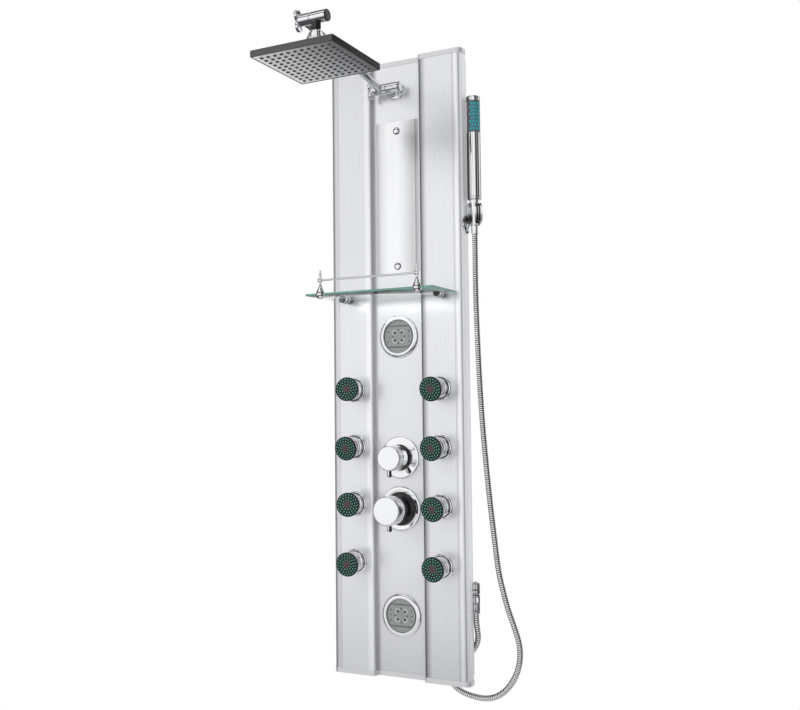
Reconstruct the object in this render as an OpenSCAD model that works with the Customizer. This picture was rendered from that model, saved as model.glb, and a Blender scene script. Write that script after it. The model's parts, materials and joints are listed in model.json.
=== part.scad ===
// Wall-mounted shower panel column with an overhead shower on a folding arm, a glass shelf,
// body jets, two tilting jets, a mixer, a diverter and a hand shower on a ribbed hose.
// The wall plane is y = 0 and the front faces -Y. +X is the viewer's right and +Z is up.
// The origin is the middle of the four wall screws. Heights are measured from there.

/* [Panel] */
// Overall width of the panel
panel_w = 360; // [350:1:400]
// Overall height with both end caps
panel_h = 1500; // [1480:5:1600]
// Distance from the wall to the front face of the pillars
panel_depth = 70; // [69:1:76]
// Width of the recessed centre channel
channel_w = 132; // [128:1:138]
// How far the floor of the channel lies behind the pillars
channel_recess = 17; // [16:0.5:18]
// Depth of a pillar from its front face to its rear edge
pillar_depth = 28; // [27:0.5:30]
// Wall thickness of the aluminium profiles
skin_t = 2; // [1.6:0.1:2.4]
// Radius of the outer front corners
outer_r = 14; // [10:1:15]
// Radius of the front corners beside the channel
inner_r = 8; // [5:1:10]
// Height of an end cap
cap_h = 12; // [8:1:18]
// How far an end cap stands proud of the profile
cap_proud = 1; // [0.5:0.1:2]
// Distance of the decorative groove from the outer edge of a pillar
groove_inset = 23; // [20:1:30]
// Distance from the wall to the back of the side rails
rail_gap = 25; // [24:0.5:27]
// How far the side rails are set in from the outer faces
rail_inset = 6; // [5:0.5:8]
// How much shorter a side rail is than the panel at each end
rail_short = 20; // [16:1:30]

/* [Wall fixing] */
// Distance between the wall screws across
screw_span = 200; // [160:5:230]
// Distance between the wall screws up and down
screw_rise = 1120; // [1100:5:1150]
// Height of a wall bracket
bracket_h = 60; // [40:2:70]
// Sheet thickness of a wall bracket
bracket_t = 2.2; // [1.6:0.1:3]
// Diameter of a wall screw's plain shank
screw_d = 5; // [4.6:0.1:5.4]
// Diameter of a wall screw's neck and of the core of its thread
screw_core_d = 4.4; // [4:0.1:4.5]
// Thickness of the tile and adhesive in front of the wall plugs
tile_t = 10; // [8:1:15]
// Diameter of a wall plug
plug_d = 8; // [7:0.5:10]
// Length of a wall plug
plug_len = 40; // [30:1:50]

/* [Mirror] */
// Width of the mirror plate
mirror_w = 115; // [100:1:122]
// Gap between the mirror and the arm's flange above it
mirror_gap_top = 55; // [45:1:65]
// Gap between the mirror and the middle of the glass shelf below it
mirror_gap_low = 57; // [45:1:65]
// Thickness of the mirror plate
mirror_t = 3; // [2:0.5:5]

/* [Shelf] */
// Width of the glass shelf
shelf_w = 334; // [300:2:350]
// Depth of the glass shelf
shelf_d = 133; // [110:1:150]
// Thickness of the glass
glass_t = 5; // [4:0.5:8]
// Height of the middle of the glass
shelf_z = 163; // [150:1:175]
// Distance of the shelf posts and brackets from the middle
post_x = 127; // [110:1:140]
// Height of a post above the glass
post_h = 57; // [45:1:70]

/* [Tilting jets] */
// Outer diameter of the trim ring
ring_d = 104; // [100:1:112]
// Opening diameter of the trim ring
ring_bore_d = 80; // [79:0.5:84]
// Height of the upper tilting jet
upper_jet_z = 67; // [55:1:75]
// Distance of the lower tilting jet from the panel's lower end
lower_jet_rise = 147; // [138:1:154]
// Radius of the tilting drum about its pivot
drum_r = 25; // [23:0.5:25]

/* [Mixer and diverter] */
// Height of the diverter
diverter_z = -226; // [-235:1:-215]
// Diameter of the diverter's wall plate
diverter_plate_d = 102; // [90:1:110]
// Diameter of the diverter knob
diverter_knob_d = 57; // [50:1:64]
// Gap between the wall plates of the diverter and the mixer
mixer_gap = 18; // [14:1:28]
// Diameter of the mixer's wall plate
mixer_plate_d = 108; // [96:1:116]
// Diameter of the mixer knob
mixer_knob_d = 66; // [60:1:72]
// Distance between the hot and cold inlets
inlet_span = 150; // [146:1:156]
// Outside diameter of an inlet thread
inlet_d = 20.95; // [18:0.05:22]

/* [Body jets] */
// Distance of the jet columns from the middle
jet_x = 115; // [110:1:118]
// Height of the top row of jets
jet_top_z = -61; // [-70:1:-55]
// Distance of the bottom row of jets from the panel's lower end
jet_rise = 272; // [262:1:290]
// Diameter of a jet's flange
jet_flange_d = 60; // [54:1:66]
// Diameter of a jet's face
jet_face_d = 56; // [50:1:60]
// Distance from the pillar to a jet's face
jet_reach = 50; // [48:0.5:56]
// Diameter of a jet's ball
jet_ball_d = 36; // [32:0.5:38]

/* [Overhead shower] */
// Side of the square shower head
head_side = 203; // [180:1:220]
// Thickness of the shower head at its edge
head_t = 15.5; // [13:0.5:18]
// Nozzles along each side of the head
nozzle_rows = 11; // [9:1:12]
// Distance from the side of the head to the first row of nozzles
nozzle_margin = 18.5; // [16:0.5:24]
// Distance of the arm's lower hinge from the panel's upper end
arm_drop = 75; // [65:1:85]
// Distance from the arm's lower hinge to the upper hinge, measured forward
arm_run = 347; // [300:1:380]
// Rise from the lower hinge to the upper hinge
arm_rise = 55; // [50:1:70]
// Diameter of the arm tube
arm_d = 18; // [14:0.5:19]
// Diameter of the hinge barrels
barrel_d = 26; // [24:0.5:30]

/* [Hand shower] */
// Diameter of the hand shower
handset_d = 33; // [28:0.5:36]
// Length of the hand shower without its hose nut
handset_len = 249; // [220:1:280]
// Distance of the hand shower's lower end from the panel's upper end
handset_drop = 368; // [350:1:375]
// Distance of the hand shower from the panel's side face
handset_gap = 22; // [21:0.5:28]
// Outside diameter of the hose
hose_d = 14; // [10:0.5:15]
// Bore of the hose
hose_bore_d = 8; // [6:0.5:9]

/* [Hidden] */
$fn = 48;
overrun = 1;
slip = 0.05;
gap = 0.3;

// Planes of the panel
half_w = panel_w / 2;
half_channel = channel_w / 2;
pillar_w = half_w - half_channel;
front_y = -panel_depth;
floor_y = front_y + channel_recess;
floor_back_y = floor_y + skin_t;
pillar_back_y = front_y + pillar_depth;
body_h = panel_h - 2 * cap_h;
body_top = body_h / 2;
panel_top = panel_h / 2;
groove_w = 1.2;
groove_t = 0.8;
cap_lip_h = 6;
cap_lip_t = 2;

// Rails and brackets
rail_x = half_w - rail_inset;
rail_h = panel_h - 2 * rail_short;
rail_front = 12;
rail_flange = 26;
rail_back_y = -rail_gap;
ear_x = 130;
ear_overlap = 2;
screw_hole_r = screw_d / 2 + gap;
screw_core_r = screw_core_d / 2;
screw_head_r = 5;
screw_head_t = 3;
screw_tip = 4;

// Mirror and its caps
mirror_y = floor_y - mirror_t;
mirror_cap_top = 24;
mirror_cap_bottom = 19;
mirror_cap_r = 9;
mirror_cap_t = 4.5;
mirror_pin_r = 1.8;
mirror_pin_len = 6;

// Shelf fittings
shelf_gap = 10;
shelf_back_y = front_y - shelf_gap;
shelf_front_y = shelf_back_y - shelf_d;
glass_corner_r = 5;
glass_gap = 0.1;
clamp_r = 9;
clamp_len = 30;
clamp_foot_r = 10;
clamp_foot_t = 4;
clamp_stem_r = 5.5;
clamp_drop = 2;
post_r = 2.6;
post_bulb_r = 11;
post_cone_h = 22;
post_in = 3;
rail_up = 33;
rail_r = 2.4;
rail_knuckle_r = 5.2;
bulb_share = 0.9;

// Tilting jets
ring_t = 7;
ring_edge = 2;
housing_flange_r = 46;
housing_flange_t = 2.2;
housing_r = 43.3;
housing_face = 3;
housing_back = 24;
drum_pivot = 5;
drum_face = 9;
drum_back = 10;
drum_clip_r = 37;
drum_pocket_r = 38.6;
drum_pocket_back = 16.5;
trunnion_r = 3;
trunnion_x = 41.5;
drum_hole_r = 1.3;
drum_hole_deep = 6;
drum_hole_ring = 14;
drum_side_x = 28;
drum_side_z = 11;
drum_pivot_y = floor_y + drum_pivot;
lower_jet_z = lower_jet_rise - panel_top;
jet_zs = [upper_jet_z, lower_jet_z];

// Diverter, measured forward from the channel floor
plate_t = 4;
plate_edge = 1.5;
diverter_collar_r = 31;
diverter_collar_t = 9;
diverter_knob_len = 50.5;
diverter_r = diverter_knob_d / 2;
knob_edge = 3;
stem_r = 4;
valve_r = 20;
valve_back_y = -22;
valve_boss_r = 10;
lever_r = 4.5;
lever_out = 16;
diverter_lever_y = 6.5;
knob_start_y = floor_y - plate_t - diverter_collar_t - overrun;

// Mixer
mixer_plate_t = 5;
collar_r = 40;
collar_t = 5;
collar_boss_r = 17;
collar_boss_t = 5;
mixer_r = mixer_knob_d / 2;
mixer_pivot = 27;
mixer_front = 80;
mixer_skirt_r = 28;
mixer_skirt = 6;
mixer_shoulder = 20;
mixer_lever = 20;
spindle_r = 8;
spindle_ball_r = 14;
mixer_valve_r = 24;
mixer_hole_r = 15;
inlet_r = inlet_d / 2;
inlet_bar_r = 8;
inlet_boss_r = 12.5;
inlet_len = 16;
inlet_end_y = -10;
mixer_z = diverter_z - (diverter_plate_d + mixer_plate_d) / 2 - mixer_gap;
mixer_pivot_y = floor_y - mixer_pivot;
mixer_front_y = floor_y - mixer_front;

// Body jets
jet_rows = 4;
jet_pitch = (jet_top_z + panel_top - jet_rise) / (jet_rows - 1);
jet_pans = [10, 0, 10, 3, -4, -7, -3, -4];
jet_tilts = [3, -7, 3, -5, -6, -4, -6, -2];
jet_ball_r = jet_ball_d / 2;
jet_flange_r = jet_flange_d / 2;
jet_face_r = jet_face_d / 2;
jet_flange_t = 5;
jet_flange_edge = 2;
jet_pivot = 22;
jet_cup_front = 3;
jet_cup_r = 25;
jet_cup_edge = 1.5;
seat_angle = 45;
jet_tail_r = 10;
jet_shell_t = 2.7;
jet_skirt_angle = 50;
jet_rim = 10;
jet_bell = 6;
jet_bell_r = 15;
jet_insert_r = 25;
jet_insert_t = 2;

// Pipes behind the panel
pipe_y = -34;
pipe_r = 6;
pipe_ball_r = 7.5;
tee_r = 10;
tee_half = 7;
riser_x = 56;
feed_offset = 10;
hand_feed_rise = 225;
hand_feed_z = hand_feed_rise - panel_top;

// Arm, measured from the lower hinge
arm_out = 27;
arm_z = panel_top - arm_drop;
arm_hinge_y = floor_y - arm_out;
arm_flange_r = 22;
arm_flange_t = 4;
arm_stub_r = 10;
arm_tail_r = 10;
barrel_r = barrel_d / 2;
arm_r = arm_d / 2;
base_barrel_l = -12;
base_barrel_r = 25;
arm_barrel_l = -46;
high_barrel_l = -40;
tube_x = -30;
neck_barrel_l = -12;
neck_barrel_r = 30;
head_y = arm_hinge_y - arm_run;
neck_z = arm_z + arm_rise;
mirror_top = arm_z - arm_flange_r - mirror_gap_top;
mirror_low = shelf_z + mirror_gap_low;
bolt_r = 4;
bolt_end = 3;
low_hub_l = -54;
low_hub_r = 10;
high_hub_l = -42;
high_hub_r = 12.5;
wing_t = 7;
low_wing_r = 21;
high_wing_r = 24;
wing_tip_r = 6.5;
wing_root_r = 6;
wing_web = 8;
wing_turn = 12;

// Neck, ball joint and head, measured down from the upper hinge
ball_drop = 46;
ball_r = 13;
ball_stem_r = 7;
block_top = 10;
block_low = 27.5;
block_half = 12;
nut_low = 16;
nut_high = 14;
nut_r = 22;
nut_top_r = 15;
nut_mouth_r = 11.3;
nut_bore_r = 12;
nut_bore_h = 3;
ball_z = neck_z - ball_drop;
nut_bottom_z = ball_z - nut_low;
boss_h = 23.5;
boss_r = 19;
boss_foot_r = 30;
boss_foot_h = 12;
spigot_h = 2.2;
head_top_z = nut_bottom_z - gap - boss_h;
head_low_z = head_top_z - head_t;
head_edge = 3.2;
head_lip = 0.5;
face_t = 3;
mat_edge = 7;
mat_t = 1.5;
chamber_t = 4.5;
nub_r = 2.2;
nub_tip_r = 1.5;
nub_out = 2.3;
nub_gap = 0.25;
head_half = head_side / 2;
nozzle_pitch = (head_side - 2 * nozzle_margin) / (nozzle_rows - 1);

// Hand shower and its holder
handset_x = half_w + handset_gap;
handset_z = panel_top - handset_drop;
handset_y = front_y + (outer_r + pillar_depth) / 2;
handset_r = handset_d / 2;
band_h = 75;
handset_cap_h = 13;
core_r = 12;
core_gap = 0.2;
handset_edge = 1.5;
nut_cone_top_r = 12.5;
nut_cone_h = 32;
nut_neck_r = 8.5;
nut_neck_h = 50;
nut_top_step = 0.5;
nut_end_z = handset_z - nut_cone_h - nut_neck_h;
cup_top = 9;
cup_h = 36;
cup_r = 18.5;
cup_low_r = 15;
cup_gap = 0.4;
slot_w = 15.6;
rosette_r = 14;
rosette_t = 8;
rosette_drop = 62;
pad_r = 5;
pad_t = 2;
holder_bar_half = 6;
holder_bar_l = 3;
holder_bar_r = 9;

// Outlet elbow for the hose
elbow_out = 11;
elbow_x = rail_x + elbow_out;
elbow_y = pipe_y;
elbow_r = 9;
elbow_rose_r = 7.7;
elbow_rose_t = 3;
elbow_spigot_r = 6;
elbow_up = 3;
elbow_down = 18;
union_r = 9.1;
union_h = 20;
union_lip = 1.5;
ferrule_r = 8.5;
ferrule_h = 24;
pipe_end_x = rail_x - 4;

// Route of the hose from the elbow's ferrule to the nut under the hand shower
hose_route = [
    [185, -34, -587], [185, -34, -601], [185, -32, -614], [184.5, -27, -629], [182.5, -20, -645],
    [177, -15, -661], [166, -12, -677], [149, -12, -691], [130, -12, -704], [115, -12, -719],
    [107, -12, -738], [111, -12, -757], [124, -12, -771], [145, -12, -780], [172, -13, -785],
    [200, -14, -785], [226, -15, -777], [248, -16, -761], [266, -17, -739], [279, -18, -712],
    [286, -19, -680], [284, -20, -648], [274, -22, -613], [262, -24, -578], [251, -26, -537],
    [240, -28, -485], [232, -31, -410], [223.5, -34, -323], [216, -37, -230], [210, -40, -137],
    [205.5, -42, -40], [203, -44, 45], [201.5, -45.5, 115], [201, -47, 183], [201.5, -48, 230],
    [202, -49, 264], [202, -49, 284], [202, -49, 300]];
hose_r = hose_d / 2;
hose_bore_r = hose_bore_d / 2;
hose_ribs = 190;
hose_sides = 8;
rib_deep = 0.9;
bore_step = 5;

// Places of the eight body jets: the left column from the top, then the right one
jet_places = [for (side = [-1, 1]) for (row = [0 : jet_rows - 1])
    [side * jet_x, front_y, jet_top_z - row * jet_pitch]];
nozzle_offsets = [for (i = [0 : nozzle_rows - 1]) (i - (nozzle_rows - 1) / 2) * nozzle_pitch];
screw_places = [for (sx = [-1, 1]) for (sz = [-1, 1]) [sx * screw_span / 2, 0, sz * screw_rise / 2]];
mirror_cap_zs = [mirror_top - mirror_cap_top, mirror_low + mirror_cap_bottom];

// Round bars between two coordinates along one axis
module rod_x(r, x0, x1) { translate([x0, 0, 0]) rotate([0, 90, 0]) cylinder(h = x1 - x0, r = r); }
module rod_y(r, y0, y1) { translate([0, y0, 0]) rotate([-90, 0, 0]) cylinder(h = y1 - y0, r = r); }
module rod_z(r, z0, z1) { translate([0, 0, z0]) cylinder(h = z1 - z0, r = r); }
// Cones between two coordinates, each end with its own radius
module cone_y(y0, r0, y1, r1) {
    translate([0, y0, 0]) rotate([-90, 0, 0]) cylinder(h = y1 - y0, r1 = r0, r2 = r1);
}
module cone_z(z0, r0, z1, r1) { translate([0, 0, z0]) cylinder(h = z1 - z0, r1 = r0, r2 = r1); }
// A box between two corners
module box(low, high) { translate(low) cube(high - low); }
module both_sides() { children(); mirror([1, 0, 0]) children(); }

// A round disc that stands forward of a back plane, with a bevelled front edge
module disc_y(r, back_y, t, edge) {
    rod_y(r, back_y - t + edge, back_y);
    cone_y(back_y - t, r - edge, back_y - t + edge, r);
}

// Outline of a pillar, from its channel edge at x = 0 and its front at y = 0
module pillar_outline(w, d, r_in, r_out) {
    intersection() {
        union() {
            translate([0, r_in]) square([r_in, d]);
            translate([r_in, 0]) square([w - r_in - r_out, d]);
            translate([w - r_out, r_out]) square([r_out, d]);
            translate([r_in, r_in]) circle(r_in);
            translate([w - r_out, r_out]) circle(r_out);
        }
        square([w, d]);
    }
}

module pillar() {
    difference() {
        translate([half_channel, front_y, -body_top]) linear_extrude(body_h) difference() {
            pillar_outline(pillar_w, pillar_depth, inner_r, outer_r);
            translate([skin_t, skin_t])
                pillar_outline(pillar_w - 2 * skin_t, pillar_depth, inner_r - skin_t, outer_r - skin_t);
            translate([pillar_w - groove_inset - groove_w / 2, -overrun])
                square([groove_w, groove_t + overrun]);
        }
        for (row = [0 : jet_rows - 1])
            translate([jet_x, 0, jet_top_z - row * jet_pitch])
                rod_y(jet_tail_r + gap, front_y - overrun, front_y + skin_t + overrun);
    }
}

module left_pillar() { color("lightgray") mirror([1, 0, 0]) pillar(); }

module right_pillar() {
    color("lightgray") difference() {
        pillar();
        translate([0, handset_y, handset_z - rosette_drop])
            rod_x(mirror_pin_r + gap, half_w - skin_t - overrun, half_w + overrun);
    }
}

module centre_panel() {
    color("gainsboro") difference() {
        union() {
            box([-half_channel, floor_y, -body_top], [half_channel, floor_back_y, body_top]);
            both_sides() box([half_channel - skin_t, floor_y, -body_top],
                [half_channel, pillar_back_y, body_top]);
        }
        for (z = jet_zs) translate([0, 0, z])
            rod_y(housing_r + gap, floor_y - overrun, floor_back_y + overrun);
        for (z = mirror_cap_zs) translate([0, 0, z])
            rod_y(mirror_pin_r + gap, floor_y - overrun, floor_back_y + overrun);
        translate([0, 0, diverter_z]) rod_y(valve_boss_r + gap, floor_y - overrun, floor_back_y + overrun);
        translate([0, 0, mixer_z]) rod_y(mixer_hole_r + gap, floor_y - overrun, floor_back_y + overrun);
        translate([0, 0, arm_z]) rod_y(arm_tail_r + gap, floor_y - overrun, floor_back_y + overrun);
    }
}

// One end cap lies over the ends of all three profiles and plugs into the pillars
module end_cap() {
    proud_w = pillar_w + 2 * cap_proud;
    proud_d = pillar_depth + cap_proud;
    linear_extrude(cap_h) {
        both_sides() translate([half_channel - cap_proud, front_y - cap_proud])
            pillar_outline(proud_w, proud_d, inner_r + cap_proud, outer_r + cap_proud);
        translate([-half_channel, floor_y - cap_proud])
            square([channel_w, pillar_back_y - floor_y + cap_proud]);
    }
    both_sides() translate([half_channel + skin_t + gap, front_y + skin_t + gap, -cap_lip_h])
        linear_extrude(cap_lip_h + overrun) difference() {
            pillar_outline(pillar_w - 2 * (skin_t + gap), pillar_depth - 2 * (skin_t + gap),
                inner_r - skin_t - gap, outer_r - skin_t - gap);
            translate([cap_lip_t, cap_lip_t])
                pillar_outline(pillar_w - 2 * (skin_t + gap + cap_lip_t), pillar_depth,
                    inner_r - skin_t - gap - cap_lip_t, outer_r - skin_t - gap - cap_lip_t);
        }
}

module top_cap() { color("silver") translate([0, 0, body_top]) end_cap(); }
module bottom_cap() { color("silver") translate([0, 0, -body_top]) mirror([0, 0, 1]) end_cap(); }

// A side rail steps in behind the pillar and turns inward at the back
module side_rails() {
    wall_x = half_w - skin_t;
    color("darkgray") both_sides() difference() {
        translate([0, 0, -rail_h / 2]) linear_extrude(rail_h) {
            translate([wall_x - skin_t, pillar_back_y - rail_front]) square([skin_t, rail_front]);
            translate([rail_x - skin_t, pillar_back_y - skin_t]) square([wall_x - rail_x + skin_t, skin_t]);
            translate([rail_x - skin_t, pillar_back_y - skin_t])
                square([skin_t, rail_back_y - pillar_back_y + skin_t]);
            translate([rail_x - rail_flange, rail_back_y - skin_t]) square([rail_flange, skin_t]);
        }
        translate([0, elbow_y, hand_feed_z])
            rod_x(elbow_spigot_r + gap, rail_x - skin_t - overrun, rail_x + overrun);
    }
}

module wall_brackets() {
    color("silver") for (side = [-1, 1]) translate([0, 0, side * screw_rise / 2]) difference() {
        translate([0, 0, -bracket_h / 2]) linear_extrude(bracket_h) {
            translate([-ear_x, -bracket_t]) square([2 * ear_x, bracket_t]);
            both_sides() translate([ear_x - bracket_t, rail_back_y]) square([bracket_t, rail_gap]);
            both_sides() translate([ear_x - bracket_t, rail_back_y])
                square([rail_x - ear_overlap - ear_x + bracket_t, bracket_t]);
        }
        for (sx = [-1, 1]) translate([sx * screw_span / 2, 0, 0])
            rod_y(screw_hole_r, -bracket_t - overrun, overrun);
    }
}

// A plain shank spans the tile layer between the bracket and the plug
module wall_screws() {
    color("silver") for (p = screw_places) translate(p) {
        rod_y(screw_core_r, -bracket_t - overrun, tile_t + plug_len - screw_tip);
        rod_y(screw_d / 2, 0, tile_t);
        cone_y(-bracket_t - screw_head_t, screw_head_r / 2, -bracket_t, screw_head_r);
    }
}

module wall_plugs() {
    color("white") for (p = screw_places) translate(p) difference() {
        rod_y(plug_d / 2, tile_t, tile_t + plug_len);
        rod_y(screw_core_r + slip, tile_t - overrun, tile_t + plug_len - screw_tip / 2);
    }
}

module mirror_plate() {
    color("whitesmoke") difference() {
        box([-mirror_w / 2, mirror_y, mirror_low], [mirror_w / 2, floor_y, mirror_top]);
        for (z = mirror_cap_zs) translate([0, 0, z])
            rod_y(mirror_pin_r + gap, mirror_y - overrun, floor_y + overrun);
    }
}

module mirror_caps() {
    color("silver") for (z = mirror_cap_zs) translate([0, 0, z]) {
        disc_y(mirror_cap_r, mirror_y, mirror_cap_t, mirror_cap_t / 2);
        rod_y(mirror_pin_r, mirror_y - overrun, mirror_y + mirror_pin_len);
    }
}

module shelf_glass() {
    half = shelf_w / 2;
    color("lightcyan", 0.5) translate([0, 0, shelf_z - glass_t / 2]) linear_extrude(glass_t) {
        translate([-half, shelf_front_y + glass_corner_r]) square([shelf_w, shelf_d - glass_corner_r]);
        translate([-half + glass_corner_r, shelf_front_y])
            square([shelf_w - 2 * glass_corner_r, shelf_d]);
        for (sx = [-1, 1]) translate([sx * (half - glass_corner_r), shelf_front_y + glass_corner_r])
            circle(glass_corner_r);
    }
}

// The slot that takes the glass, cut through a clamp
module glass_slot(y0, y1) {
    half = glass_t / 2 + glass_gap;
    box([-clamp_len, y0, -half], [clamp_len, y1, half]);
}

module shelf_brackets() {
    color("silver") for (sx = [-1, 1]) translate([sx * post_x, 0, shelf_z]) difference() {
        translate([0, 0, -clamp_drop]) {
            disc_y(clamp_foot_r, front_y, clamp_foot_t, plate_edge);
            rod_y(clamp_stem_r, shelf_back_y - overrun, front_y);
            rod_y(clamp_r, shelf_back_y - clamp_len, shelf_back_y + overrun);
        }
        glass_slot(shelf_back_y - clamp_len - overrun, shelf_back_y + glass_gap);
    }
}

module shelf_post() {
    difference() {
        union() {
            sphere(post_bulb_r);
            cone_z(post_bulb_r / 2, post_bulb_r * bulb_share, post_cone_h, post_r);
            rod_z(post_r, 0, post_h);
            translate([0, 0, rail_up]) rod_x(rail_knuckle_r, -rail_knuckle_r, rail_knuckle_r);
        }
        translate([0, -post_in, 0]) glass_slot(-glass_gap, post_bulb_r + post_in + overrun);
        translate([0, 0, rail_up]) rod_x(rail_r + slip, -rail_knuckle_r - overrun, -post_r);
    }
}

module shelf_posts() {
    color("silver") translate([0, shelf_front_y + post_in, shelf_z]) both_sides()
        translate([post_x, 0, 0]) shelf_post();
}

module shelf_rail() {
    reach = post_x - post_r - slip;
    color("silver") translate([0, shelf_front_y + post_in, shelf_z + rail_up]) rod_x(rail_r, -reach, reach);
}

module drum_rings() {
    color("silver") for (z = jet_zs) translate([0, 0, z]) difference() {
        disc_y(ring_d / 2, floor_y, ring_t, ring_edge);
        rod_y(ring_bore_d / 2, floor_y - ring_t - overrun, floor_y + overrun);
        rod_y(housing_flange_r + gap, floor_y - housing_flange_t - gap, floor_y + overrun);
    }
}

// The housing holds the drum by its two trunnions and closes the space above and below it
module drum_housings() {
    color("gray") for (z = jet_zs) translate([0, drum_pivot_y, z]) difference() {
        union() {
            rod_y(housing_flange_r, -drum_pivot - housing_flange_t, -drum_pivot);
            rod_y(ring_bore_d / 2 - gap, -drum_pivot - housing_face, -drum_pivot);
            rod_y(housing_r, -drum_pivot - overrun, housing_back - drum_pivot);
        }
        intersection() {
            rod_x(drum_r + gap, -drum_pocket_r, drum_pocket_r);
            rod_y(drum_pocket_r, -drum_r - overrun, drum_pocket_back);
        }
        rod_x(trunnion_r + slip, -trunnion_x - gap, trunnion_x + gap);
    }
}

module drum(z) {
    translate([0, drum_pivot_y, z]) difference() {
        union() {
            intersection() {
                rod_x(drum_r, -drum_clip_r, drum_clip_r);
                rod_y(drum_clip_r, -drum_face, drum_back);
            }
            rod_x(trunnion_r, -trunnion_x, trunnion_x);
        }
        for (a = [0 : 90 : 270]) translate([drum_hole_ring * cos(a), 0, drum_hole_ring * sin(a)])
            rod_y(drum_hole_r, -drum_face - overrun, -drum_face + drum_hole_deep);
        for (sx = [-1, 1]) for (k = [-1 : 1])
            translate([sx * drum_side_x, 0, k * drum_side_z])
                rod_y(drum_hole_r, -drum_face - overrun, -drum_face + drum_hole_deep);
    }
}

module upper_drum() { color("darkgray") drum(upper_jet_z); }
module lower_drum() { color("darkgray") drum(lower_jet_z); }

module diverter_plate() {
    color("silver") translate([0, 0, diverter_z]) difference() {
        union() {
            disc_y(diverter_plate_d / 2, floor_y, plate_t, plate_edge);
            disc_y(diverter_collar_r, floor_y - plate_t + overrun, diverter_collar_t + overrun, plate_edge);
        }
        rod_y(valve_boss_r + gap, floor_y - plate_t - diverter_collar_t - overrun, floor_y + overrun);
    }
}

// The lever pin hangs under a knob at the stated depth
module lever_pin(y, from_z, to_z) {
    translate([0, y, 0]) {
        rod_z(lever_r, to_z, from_z);
        translate([0, 0, to_z]) sphere(lever_r);
    }
}

module diverter_knob() {
    color("silver") translate([0, 0, diverter_z]) {
        disc_y(diverter_r, knob_start_y, diverter_knob_len, knob_edge);
        rod_y(stem_r, knob_start_y - overrun, floor_back_y + valve_r / 2);
        lever_pin(knob_start_y - diverter_knob_len + diverter_lever_y, 0, -diverter_r - lever_out + lever_r);
    }
}

module diverter_valve() {
    color("goldenrod") translate([0, 0, diverter_z]) difference() {
        union() {
            rod_y(valve_r, floor_back_y, valve_back_y);
            rod_y(valve_boss_r, floor_y - plate_t - diverter_collar_t / 2, floor_back_y + overrun);
        }
        rod_y(stem_r + slip, floor_y - plate_t - diverter_collar_t, floor_back_y + valve_r / 2 + gap);
    }
}

module mixer_plate() {
    color("silver") translate([0, 0, mixer_z]) difference() {
        disc_y(mixer_plate_d / 2, floor_y, mixer_plate_t, plate_edge);
        rod_y(mixer_hole_r + gap, floor_y - mixer_plate_t - overrun, floor_y + overrun);
    }
}

module mixer_collar() {
    y0 = floor_y - mixer_plate_t;
    color("dimgray") translate([0, 0, mixer_z]) difference() {
        union() {
            disc_y(collar_r, y0, collar_t, plate_edge);
            rod_y(collar_boss_r, y0 - collar_t - collar_boss_t, y0 - collar_t + overrun);
        }
        rod_y(spindle_r + gap, y0 - collar_t - collar_boss_t - overrun, y0 + overrun);
    }
}

// The spindle turns in the valve and ends in a ball, on which the knob tilts
module mixer_spindle() {
    color("silver") translate([0, 0, mixer_z]) {
        rod_y(spindle_r, mixer_pivot_y, floor_back_y + mixer_valve_r / 2);
        translate([0, mixer_pivot_y, 0]) sphere(spindle_ball_r);
    }
}

module mixer_knob() {
    rim_y = mixer_pivot_y + mixer_skirt;
    color("silver") translate([0, 0, mixer_z]) difference() {
        union() {
            disc_y(mixer_r, mixer_pivot_y - mixer_shoulder,
                mixer_pivot_y - mixer_shoulder - mixer_front_y, knob_edge);
            cone_y(mixer_pivot_y - mixer_shoulder, mixer_r, rim_y, mixer_skirt_r);
            lever_pin(mixer_front_y + mixer_lever, 0, -mixer_r - lever_out + lever_r);
        }
        translate([0, mixer_pivot_y, 0]) sphere(spindle_ball_r + gap);
        cone_y(mixer_pivot_y, spindle_ball_r + gap, rim_y + slip, mixer_skirt_r - skin_t);
        rod_y(mixer_skirt_r - skin_t, rim_y, rim_y + overrun);
    }
}

module mixer_valve() {
    color("goldenrod") translate([0, 0, mixer_z]) difference() {
        union() {
            rod_y(mixer_valve_r, floor_back_y, valve_back_y);
            rod_y(mixer_hole_r, floor_y - mixer_plate_t, floor_back_y + overrun);
            translate([0, pipe_y, 0]) rod_x(inlet_bar_r, -inlet_span / 2, inlet_span / 2);
            for (sx = [-1, 1]) translate([sx * inlet_span / 2, 0, 0]) {
                rod_y(inlet_boss_r, pipe_y - inlet_bar_r + gap, inlet_end_y - inlet_len);
                rod_y(inlet_r, inlet_end_y - inlet_len - overrun, inlet_end_y);
            }
        }
        rod_y(spindle_r + slip, floor_y - mixer_plate_t - overrun, floor_back_y + mixer_valve_r / 2 + gap);
    }
}

// Body jet pieces stand at their own place. The ball rests in a cone that opens into a bore
module jet_flange() {
    seat_r = jet_ball_r + gap;
    cone_start = seat_r * tan(seat_angle / 2);
    difference() {
        union() {
            disc_y(jet_flange_r, 0, jet_flange_t, jet_flange_edge);
            disc_y(jet_cup_r, 0, jet_pivot + jet_cup_front, jet_cup_edge);
            rod_y(jet_tail_r, -overrun, pipe_y - tee_half - front_y);
        }
        translate([0, -jet_pivot, 0]) {
            rod_y(seat_r, -jet_cup_front - overrun, cone_start);
            cone_y(cone_start, seat_r, seat_r, cone_start);
        }
    }
}

module jet_flanges() { color("silver") for (p = jet_places) translate(p) jet_flange(); }

module jet_pose(i) {
    translate(jet_places[i] - [0, jet_pivot, 0]) rotate([0, 0, jet_pans[i]]) rotate([-jet_tilts[i], 0, 0])
        children();
}

module jet_ball(i) {
    color("gray") jet_pose(i) sphere(jet_ball_r);
}

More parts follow.
